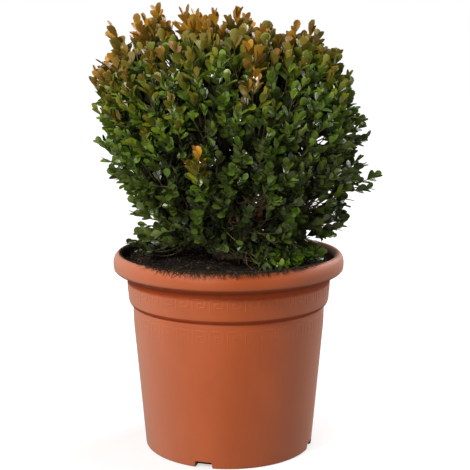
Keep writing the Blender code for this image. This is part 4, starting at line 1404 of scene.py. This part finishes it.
# Each row holds a number of shoots, the turns that they lie between, and their drift.
# A negative drift gives darker tints. The darkest, on the left, partly paints shade over the inside of the
# lip.
LOW_GROWTH = (
    (44, -66.0, -6.0, 0.60),
    (14, -6.0, 40.0, -0.5),
    (12, 40.0, 150.0, -0.3),
    (20, 150.0, 212.0, -1.3),
    (8, -122.0, -66.0, -0.7),
)
TUFT_REACH, SPRAY_REACH = 0.030, 0.034
LEAF_LENGTH, TOP_LEAF_LENGTH, LOW_LEAF_LENGTH = 0.0120, 0.0148, 0.0100
LARGER_LEAVES_FROM, LARGEST_LEAVES_FROM = 0.38, 0.43
LEAF_BEYOND_TIP, PLACED_LEAF = 0.88, 1.08
HIGH_TUFTS_FROM, HIGH_LEAN, LOW_LEAN = 0.37, (3.0, 2.0), (6.0, 3.0)
FOLLOWER_TURN, FOLLOWER_LEAN = 2.4, 0.35
TUFT_DRIFT, FOLLOWER_DRIFT_SHARE = 0.15, 0.6
AMBER_DRIFTS = {"front_amber": 1.10, "front_amber_low": 0.80}
TUFT_LENGTHS, SPRAY_LENGTHS, LOW_LENGTH = (0.046, 0.042), (0.050, 0.044), 0.030
TUFT_GAPS, SPRAY_GAPS = ((0.005, 0.010), (0.006, 0.016)), ((0.008, 0.012), (0.010, 0.018))
LOW_RADII, LOW_HEIGHTS = (0.066, 0.100), (0.2050, 0.2160)


def leaf_length_at(height):
    """Leaves near the top are larger."""
    heights = (LARGER_LEAVES_FROM, LARGEST_LEAVES_FROM)
    return float(np.interp(height, heights, (LEAF_LENGTH, TOP_LEAF_LENGTH)))


def last_leaf(end, axis):
    """A shoot's tip, set back so that its last leaves end at a place."""
    return end - axis * LEAF_BEYOND_TIP * PLACED_LEAF * leaf_length_at(end.z)


def seen_at(x, z, behind):
    """The place at a depth that the camera sees at (x, z) of the plane through the axis."""
    share = (behind - camera.location.y) / -camera.location.y
    offset = Vector((x, 0.0, z)) - Vector((camera.location.x, 0.0, camera.location.z))
    return Vector((camera.location.x, behind, camera.location.z)) + offset * share


def led_group(tip, axis, lengths, reach, drifts, count, apart, lower):
    """A leading shoot, and a few shorter ones round it that lean away."""
    yield Shoot(tip, axis, lengths[0], reach, "placed", drifts[0])
    side = axis.orthogonal().normalized()
    turn = rng.uniform(0.0, 2.0 * math.pi)
    for i in range(count):
        out = Matrix.Rotation(turn + FOLLOWER_TURN * i, 3, axis) @ side
        place = tip + out * rng.uniform(*apart) - axis * rng.uniform(*lower)
        turned_away = (axis + out * FOLLOWER_LEAN).normalized()
        yield Shoot(place, turned_away, lengths[1], reach, "placed", drifts[1])


def plan_placed():
    """Tufts, which lean away from the axis and less so near the top, and side sprays."""
    for name, x, z, behind, count in TUFTS:
        end = seen_at(x, z, behind)
        sideways, forwards = HIGH_LEAN if z > HIGH_TUFTS_FROM else LOW_LEAN
        axis = Vector((sideways * end.x, forwards * end.y, 1.0)).normalized()
        drift = AMBER_DRIFTS.get(name, TUFT_DRIFT)
        drifts = (drift, FOLLOWER_DRIFT_SHARE * drift)
        yield from led_group(last_leaf(end, axis), axis, TUFT_LENGTHS, TUFT_REACH, drifts, count, *TUFT_GAPS)
    for _, x, z, behind, direction in SIDE_SPRAYS:
        axis = Vector(direction).normalized()
        tip = last_leaf(seen_at(x, z, behind), axis)
        yield from led_group(tip, axis, SPRAY_LENGTHS, SPRAY_REACH, (0.0, 0.0), 1, *SPRAY_GAPS)


def plan_low_growth():
    """Short shoots that lie over the compost, thickest at the right front as in the photograph."""
    for count, first, last, drift in LOW_GROWTH:
        for i in range(count):
            out = bearing(first + (last - first) * (i + rng.uniform(0.2, 0.8)) / count)
            tip = out * rng.uniform(*LOW_RADII) + UP * rng.uniform(*LOW_HEIGHTS)
            axis = (out + Vector(rng.uniform(-0.5, 0.5, 3)) + UP * 0.35).normalized()
            if not kept_open(tip):
                yield Shoot(tip, axis, LOW_LENGTH, SPRAY_REACH, "low", drift)


placed = [*plan_placed(), *plan_low_growth()]
print("placed shoots", len(placed))

# %% [markdown]
# ## Wood inside the crown
# From each hub a few branchlets divide the mass among them, and twigs run from these to the
# foot of every shoot. Branchlets go to the shoot feet that lie farthest apart, which spreads
# them evenly. Every strand is one spline of a curve with its own radii, and the curve's bevel
# gives it a square section, which young box shoots really have.

# %% Growing branchlets, twigs and shoots
FEET_PER_BRANCHLET, FORK_SHARE = 9, 0.60
LOW_TWIG_SHARE = 0.5
BRANCHLET_RADII, TWIG_RADII, SHOOT_RADII = (0.0019, 0.0013), (0.0011, 0.0008), (0.0008, 0.00042)
SHOOT_POINTS, TWIG_POINTS = 7, 6
FOOT_ALONG, FOOT_INWARD = 0.62, 0.38


def shoot_line(shoot, hub):
    """Points from a shoot's foot to its tip. The foot bends towards the hub."""
    inward = (shoot.tip - hub).normalized()
    foot = shoot.tip - (shoot.axis * FOOT_ALONG + inward * FOOT_INWARD).normalized() * shoot.length
    knee = shoot.tip - shoot.axis * shoot.length * 0.5
    for i in range(SHOOT_POINTS):
        t = i / (SHOOT_POINTS - 1)
        yield foot * (1 - t) ** 2 + knee * (2 * t * (1 - t)) + shoot.tip * t**2


def farthest_apart(points, count):
    """Indices of points that lie as far from each other as possible."""
    chosen = [0]
    gaps = np.linalg.norm(points - points[0], axis=1)
    while len(chosen) < count:
        chosen.append(int(np.argmax(gaps)))
        gaps = np.minimum(gaps, np.linalg.norm(points - points[chosen[-1]], axis=1))
    return chosen


def home_of(point):
    """The mass that a place belongs to: the one with the nearest seed."""
    return min(MASSES, key=lambda name: (MASSES[name][0] - point).length)


def strand(points, radii, slim=1.0):
    """Points, and radii that thin evenly along them."""
    return points, list(slim * np.linspace(*radii, len(points)))


def grow_wood(shoots):
    """Strands of wood as (points, radii), woody ones and green ones, and each shoot's line."""
    woody, green, lines = [], [], []
    by_mass = {name: [] for name in MASSES}
    for shoot in shoots:
        by_mass[home_of(shoot.tip)].append(shoot)
    for name, members in by_mass.items():
        _, tip, hub = MASSES[name]
        grown = [list(shoot_line(shoot, hub)) for shoot in members]
        lines += zip(members, grown)
        feet = np.array([line[0] for line in grown])
        leaders = farthest_apart(feet, max(2, len(feet) // FEET_PER_BRANCHLET))
        nearest = [min(leaders, key=lambda k: np.linalg.norm(feet[k] - foot)) for foot in feet]
        outward = (hub - tip).normalized()
        forks = {}
        for leader in leaders:
            group = Vector(feet[[near == leader for near in nearest]].mean(axis=0))
            fork = hub.lerp(group, FORK_SHARE)
            forks[leader] = fork
            reach = (fork - hub).length
            knots = (hub, hub + outward * 0.35 * reach, fork - (group - hub) * 0.15, fork)
            woody.append(strand(list(bezier(knots, TWIG_POINTS)), BRANCHLET_RADII))
        for shoot, line, near in zip(members, grown, nearest):
            fork, foot = forks[near], line[0]
            reach = (foot - fork).length
            away, into = (fork - hub).normalized(), (line[1] - line[0]).normalized()
            knots = (fork, fork + away * 0.3 * reach, foot - into * 0.4 * reach, foot)
            slim = LOW_TWIG_SHARE if shoot.layer == "low" else 1.0
            woody.append(strand(list(bezier(knots, TWIG_POINTS)), TWIG_RADII, slim))
            green.append(strand(line, SHOOT_RADII, slim))
    return woody, green, lines


FOLIAGE = list(MASSES)
woody, green, lines = grow_wood([*placed, *free_shoots])
finish_piece(strands_piece("twigs", woody, TWIG_BARK), FOLIAGE)
finish_piece(strands_piece("green_shoots", green, SHOOT_SKIN), FOLIAGE)

# %% [markdown]
# ## One leaf
# A box leaf is small, thick and leathery: 12 to 16 mm long, broadest past its middle, with a
# blunt tip. Thousands are needed, so one has 32 triangles. It is a closed blade, with its upper
# and under sides meeting at a sharp rim and a crease along the midrib. Four shapes differ in
# how they cup and bend.

# %% Leaf shapes
LEAF_STATIONS = ((0.14, 0.085), (0.42, 0.260), (0.72, 0.320), (0.93, 0.195))
LEAF_THICKNESS = 0.032
# Each row holds a form's name, its width, and how far it cups and bends.
LEAF_FORMS = (
    ("open", 1.00, 0.10, 0.16),
    ("cupped", 0.92, 0.42, -0.22),
    ("bent_back", 1.04, 0.05, 0.42),
    ("narrow", 0.80, 0.28, 0.06),
)


def leaf_shape(number, name, width, cup, bend):
    """A leaf 1 long on +X that faces +Z. Cup lifts its sides, and bend drops its tip."""
    bm = bmesh.new()
    under_flag = bm.faces.layers.bool.new("underside")

    def at(x, half, lift):
        """A corner, lifted off the arch of the midrib."""
        arch = bend * (0.25 - (x - 0.5) ** 2) * 0.9 - bend * 0.12 * x
        return bm.verts.new((x, half * width, arch + lift))

    base, tip = at(0.0, 0.0, 0.0), at(1.0, 0.0, 0.025 * cup)
    rows = []
    for x, half in LEAF_STATIONS:
        sides = at(x, half, cup * half), at(x, -half, cup * half)
        rows.append((*sides, at(x, 0.0, 0.0), at(x, 0.0, -LEAF_THICKNESS)))
    for middle, under in ((2, False), (3, True)):
        first, last = rows[0], rows[-1]
        faces = [(base, first[middle], first[0]), (base, first[1], first[middle])]
        for a, b in zip(rows, rows[1:]):
            faces += [(a[0], a[middle], b[middle], b[0]), (a[middle], a[1], b[1], b[middle])]
        faces += [(last[0], last[middle], tip), (last[middle], last[1], tip)]
        for corners in faces:
            face = bm.faces.new(list(reversed(corners)) if under else corners)
            face[under_flag] = under
            face.smooth = True
    for edge in bm.edges:
        flags = {face[under_flag] for face in edge.link_faces}
        on_rib = all(abs(vert.co.y) < 1e-6 for vert in edge.verts)
        edge.smooth = len(flags) == 1 and not (on_rib and flags == {False})
    return mesh_piece(f"leaf_shape_{number}_{name}", bm)


leaf_shapes = bpy.data.collections.new("leaf_shapes")
bpy.context.scene.collection.children.link(leaf_shapes)
for number, form in enumerate(LEAF_FORMS):
    leaf = leaf_shape(number, *form)
    bpy.context.scene.collection.objects.unlink(leaf)
    leaf_shapes.objects.link(leaf)
print("triangles in a leaf", triangles_in(leaf))

# %% [markdown]
# ## Leaf tints
# Cold and sun turn the youngest leaves at the top bronze and orange, then come olive and yellow green, and
# the shaded ones below are deep green. Leaves deep inside the crown take the darkest tint, partly as shade
# leaves are darker and partly as painted shade of the crown's hollow inside. A place in the crown decides the
# tint of a whole spray, and each pair down the shoot is a step greener. Each tint is a plain colour on its
# own piece. The leaf's wax gives soft white glints, and its paler underside is duller.

# %% Leaf materials
TINTS = {
    "bronze_orange": (0.440, 0.200, 0.008),
    "copper": (0.240, 0.112, 0.005),
    "olive_gold": (0.190, 0.130, 0.006),
    "yellow_green": (0.165, 0.175, 0.008),
    "fresh_green": (0.133, 0.205, 0.012),
    "mid_green": (0.086, 0.156, 0.012),
    "deep_green": (0.066, 0.100, 0.013),
    # This darkest tint is partly painted shade, for leaves deep inside the crown.
    "shade_green": (0.033, 0.048, 0.012),
}
TINT_STEPS = (0.80, 0.60, 0.36, 0.16, -0.06, -0.38, -0.95)
UNDERSIDE_PALE, UNDERSIDE_SHARE = (0.15, 0.17, 0.030), 0.26


def leaf_material(name, colour, roughness, coat):
    """One side of a leaf, in a plain colour."""
    made, tree, shader = clean_material(name)
    mask, grain = place_mottle(tree, (1.0, 1.0, 1.0), 500.0, 900.0)
    feed(tree, shader, {
        "Base Color": (*colour, 1.0),
        "Roughness": span(tree, mask, roughness, roughness + 0.14),
        "Specular IOR Level": 0.34,
        "Coat Weight": coat,
        "Coat Roughness": 0.20,
        "Normal": bump_from(tree, grain, 0.0004),
    })
    return made


def leaf_materials(tint):
    """A waxy upper side and a paler, dull underside."""
    upper = TINTS[tint]
    under = [a + (b - a) * UNDERSIDE_SHARE for a, b in zip(upper, UNDERSIDE_PALE)]
    waxy = leaf_material(f"leaf_{tint}", upper, 0.27, 0.62)
    return waxy, leaf_material(f"leaf_{tint}_under", under, 0.5, 0.0)


def tint_of(warmth):
    """The warmest tint that a warmth reaches."""
    return next((tint for tint, least in zip(TINTS, TINT_STEPS) if warmth > least), "shade_green")


print("tints", len(TINTS))

# %% [markdown]
# ## Leaves on the shoots
# Box leaves stand in pairs, each pair turned a quarter from the one above. Near the tip they
# are small and almost closed, and further down they open. On shoots that grow sideways the
# leaves twist to face the sky. A leaf that would leave the crown, touch a limb or fill a place
# where the photograph shows sky is left out.

# %% Growing the leaves
PAIR_GAP, GAP_GROWTH, LEAFY_SHARE = 0.0056, 0.02, 0.95
LOWEST_WARMTH, WARMTH_FROM, WARMTH_RANGE = -0.55, 0.340, 0.108
GREENER_PER_PAIR = 0.13
WARMER_BY_HEIGHT, WARMER_TO_LEFT, SIDE_RANGE = 0.92, 0.18, 0.13
WARMTH_SPREAD, TINT_SPREAD = 0.07, 0.05
PATCHINESS, PATCH_FREQUENCY = 0.45, 30.0
# Leaves deeper in the crown take darker tints: partly the darker green of shade leaves, partly painted shade.
DEEP_IN_SHADE = {"inner": 0.95, "core": 2.0}
LOST_SHARE, LEAF_MIDDLE = 0.035, 0.55
ROLL_SPREAD, OPENING_SPREAD, SKYWARD = 0.16, 9.0, 0.30
PLACED_TURN, PLACED_TURN_SHARE = 0.25 * math.pi, 0.08
VIGOUR, LEAF_SIZES = (0.90, 1.12), (0.88, 1.12)
LIMB_CLEARANCE = 0.0012
TO_CAMERA = Vector((0.0, -1.0, 0.0))
OPENINGS = (16.0, 27.0, 37.0, 45.0, 51.0, 56.0, 60.0, 62.0)
TIP_SIZES = (0.90, 1.0, 1.0, 1.0, 0.98, 0.95, 0.90, 0.86)
# Each row holds the (x, z) of a gap, as the camera sees it, and its radius.
SKY_GAPS = (
    (0.0955, 0.3245, 0.0070), (0.0985, 0.3185, 0.0030), (0.0855, 0.2530, 0.0090),
    (0.0910, 0.2585, 0.0060), (0.0995, 0.2570, 0.0035), (0.0490, 0.2478, 0.0030),
    (0.1045, 0.2683, 0.0035), (0.1107, 0.2631, 0.0030), (0.0838, 0.2262, 0.0045),
    (0.0995, 0.2337, 0.0045), (0.1087, 0.2334, 0.0030), (0.1242, 0.3287, 0.0020),
    (0.1294, 0.3185, 0.0025), (-0.0600, 0.4005, 0.0055), (-0.0766, 0.3810, 0.0040),
    (-0.0985, 0.4169, 0.0030), (-0.0517, 0.4266, 0.0035), (-0.0859, 0.2344, 0.0040),
    (-0.0625, 0.2262, 0.0030), (-0.0790, 0.2400, 0.0040), (0.1332, 0.2723, 0.0022),
    (0.0865, 0.2190, 0.0055), (0.1120, 0.2150, 0.0040), (-0.1400, 0.3370, 0.0080),
    (0.1370, 0.3690, 0.0105), (-0.1260, 0.2720, 0.0090), (-0.0600, 0.4500, 0.0065),
    (-0.1310, 0.4180, 0.0110), (-0.1075, 0.4370, 0.0085), (0.0535, 0.4410, 0.0085),
    (0.0785, 0.4420, 0.0080), (0.1330, 0.3820, 0.0080), (-0.1430, 0.3735, 0.0085),
    (-0.1290, 0.3080, 0.0080), (0.1300, 0.2610, 0.0085),
)


def in_sky_gap(point):
    """Whether a place lies on a line of sight through one of the gaps in the crown."""
    x, z = shown_at(point)
    return any(math.hypot(x - gx, z - gz) < radius for gx, gz, radius in SKY_GAPS)


def limb_segments():
    """Starts, ends and radii of all the thick limbs' straight pieces, as arrays."""
    starts, ends, radii = [], [], []
    for path, radius in LIMBS.values():
        for a, b in zip(path, path[1:]):
            starts.append(tuple(a))
            ends.append(tuple(b))
            radii.append(radius)
    return np.array(starts), np.array(ends), np.array(radii)


STARTS, ENDS, RADII = limb_segments()
SPANS = ENDS - STARTS
SPAN_SQUARES = np.maximum((SPANS**2).sum(axis=1), 1e-12)


def clear_of_limbs(point):
    """Whether a place keeps clear of all the thick limbs."""
    here = np.array(point)
    share = np.clip(((here - STARTS) * SPANS).sum(axis=1) / SPAN_SQUARES, 0.0, 1.0)
    gaps = np.linalg.norm(STARTS + SPANS * share[:, None] - here, axis=1)
    return bool(np.all(gaps > RADII * 0.8 + LIMB_CLEARANCE))


def warmth_of(shoot):
    """How bronzed a shoot is: by its height, a little by its side, and by its spray's drift. Deep in the
    crown it is darker, which partly paints shade.
    """
    height = max((shoot.tip.z - WARMTH_FROM) / WARMTH_RANGE, LOWEST_WARMTH)
    side = -WARMER_TO_LEFT * shoot.tip.x / SIDE_RANGE
    patch = PATCHINESS * noise.noise(shoot.tip * PATCH_FREQUENCY) + rng.normal(0.0, WARMTH_SPREAD)
    depth_shade = DEEP_IN_SHADE.get(shoot.layer, 0.0)
    return WARMER_BY_HEIGHT * height + side + patch + shoot.drift - depth_shade


def at_distance_from_tip(line, distance):
    """A place on a shoot's line, and the line's direction there."""
    for after, before in zip(reversed(line[1:]), reversed(line[:-1])):
        length = (after - before).length
        if distance <= length:
            return after.lerp(before, distance / length), (after - before).normalized()
        distance -= length
    return line[0], (line[1] - line[0]).normalized()


def fits(shoot, place, along, size):
    """Whether a leaf stays in the crown, off the limbs, and out of the gaps and the pits."""
    middle, end = place + along * size * LEAF_MIDDLE, place + along * size
    if not holds(end, shoot.reach) or not holds(place + along * size * 0.5, shoot.reach):
        return False
    if any(in_sky_gap(x) or kept_open(x) for x in (middle, end)) or not clear_of_limbs(middle):
        return False
    return shoot.layer not in ("outer", "inner") or not in_front_pit(middle, PIT_LEAF_RADIUS)


def leaves_on(shoot, line):
    """The leaves of one shoot, each as its tint and (place, rotation, length, shape)."""
    warmth = warmth_of(shoot)
    base_size = LOW_LEAF_LENGTH if shoot.layer == "low" else leaf_length_at(shoot.tip.z)
    turn = rng.uniform(0.0, 2.0 * math.pi)
    if shoot.layer == "placed":
        turn = PLACED_TURN + PLACED_TURN_SHARE * turn
        base_size *= PLACED_LEAF
    vigour = rng.uniform(*VIGOUR)
    for k in range(int(shoot.length * LEAFY_SHARE / PAIR_GAP)):
        place, ahead = at_distance_from_tip(line, k * PAIR_GAP * (1.0 + GAP_GROWTH * k))
        side = (TO_CAMERA - ahead * ahead.dot(TO_CAMERA)).normalized()
        step = min(k, len(OPENINGS) - 1)
        for half in (0.0, math.pi):
            roll = turn + 0.5 * math.pi * k + half + rng.normal(0.0, ROLL_SPREAD)
            out = Matrix.Rotation(roll, 3, ahead) @ side
            opening = math.radians(OPENINGS[step] + rng.normal(0.0, OPENING_SPREAD))
            along = (ahead * math.cos(opening) + out * math.sin(opening)).normalized()
            face = ahead - along * ahead.dot(along) + UP * SKYWARD
            face = (face - along * face.dot(along)).normalized()
            size = base_size * TIP_SIZES[step] * vigour * rng.uniform(*LEAF_SIZES)
            lost = rng.random() < LOST_SHARE
            if lost or not fits(shoot, place, along, size):
                continue
            rotation = Matrix((along, face.cross(along), face)).transposed().to_quaternion()
            shape = int(rng.integers(2 if k == 0 else len(LEAF_FORMS)))
            tint = tint_of(warmth - GREENER_PER_PAIR * k + rng.normal(0.0, TINT_SPREAD))
            yield tint, (place, rotation, size, shape)


def grow_leaves(lines):
    """The leaves of all shoots, by tint."""
    grown = {tint: [] for tint in TINTS}
    for shoot, line in lines:
        for tint, leaf in leaves_on(shoot, line):
            grown[tint].append(leaf)
    return grown


leaves = grow_leaves(lines)
print("leaves", {tint: len(found) for tint, found in leaves.items()}, sum(map(len, leaves.values())))

# %% [markdown]
# ## From places to leaves
# A mesh with one vertex for each leaf carries its rotation, length and shape as attributes, and
# a small tree puts a leaf on each. Instances are light to edit, but only real meshes are kept,
# so the tree ends by making them real and setting both sides' materials.

# %% The leaf tree and the leaf pieces
LEAVES_PER_PIECE = 4500
LEAF_ATTRIBUTES = (("turn", "QUATERNION"), ("length", "FLOAT"), ("shape", "INT"))


def leaf_tree():
    """Puts a leaf on each point and gives its two sides their materials."""
    inputs = {"Geometry": "Geometry", "Leaf Shapes": "Collection"}
    inputs |= {"Upper Side": "Material", "Under Side": "Material"}
    tree, given, result = node_group("leaves_on_points", "GeometryNodeTree", inputs, {"Geometry": "Geometry"})

    def attribute(name, kind):
        """What each point or face carries under a name."""
        found = put(tree, "GeometryNodeInputNamedAttribute", {"Name": name}, data_type=kind)
        return found.outputs["Attribute"]

    apart = {"Collection": given["Leaf Shapes"], "Separate Children": True, "Reset Children": True}
    forms = put(tree, "GeometryNodeCollectionInfo", apart).outputs["Instances"]
    turn, length, shape = (attribute(*row) for row in LEAF_ATTRIBUTES)
    laid = put(tree, "GeometryNodeInstanceOnPoints", {
        "Points": given["Geometry"],
        "Instance": forms,
        "Pick Instance": True,
        "Instance Index": shape,
        "Rotation": turn,
        "Scale": length,
    }).outputs["Instances"]
    upper = real_and_painted(tree, laid, given["Upper Side"])
    under = {"Selection": attribute("underside", "BOOLEAN"), "Material": given["Under Side"]}
    painted = put(tree, "GeometryNodeSetMaterial", {"Geometry": upper} | under)
    feed(tree, result, {"Geometry": painted.outputs["Geometry"]})
    return tree


LEAF_TREE = leaf_tree()


def leaf_piece(name, found, materials):
    """One piece of leaves from their places, rotations, lengths and shapes."""
    places, *values = zip(*found)
    mesh = bpy.data.meshes.new(name)
    mesh.from_pydata([tuple(place) for place in places], [], [])
    for (label, kind), column in zip(LEAF_ATTRIBUTES, values):
        mesh.attributes.new(label, kind, "POINT").data.foreach_set("value", np.array(column).ravel())
    points = link(bpy.data.objects.new(name + "_points", mesh))
    inputs = {"Leaf Shapes": leaf_shapes, "Upper Side": materials[0], "Under Side": materials[1]}
    made = baked(with_nodes(points, LEAF_TREE, inputs), name)
    return finish_piece(made, FOLIAGE)


for tint, found in leaves.items():
    materials = leaf_materials(tint)
    portions = math.ceil(len(found) / LEAVES_PER_PIECE)
    for portion in range(portions):
        ending = f"_{portion + 1}" if portions > 1 else ""
        leaf_piece(f"leaves_{tint}{ending}", found[portion::portions], materials)
for leaf in list(leaf_shapes.objects):
    bpy.data.objects.remove(leaf)
bpy.data.collections.remove(leaf_shapes)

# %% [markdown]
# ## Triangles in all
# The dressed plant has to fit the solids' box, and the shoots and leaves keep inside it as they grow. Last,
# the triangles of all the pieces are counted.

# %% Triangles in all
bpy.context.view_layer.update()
print("triangles in all", sum(triangles_in(obj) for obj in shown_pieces() if obj.type == "MESH"))
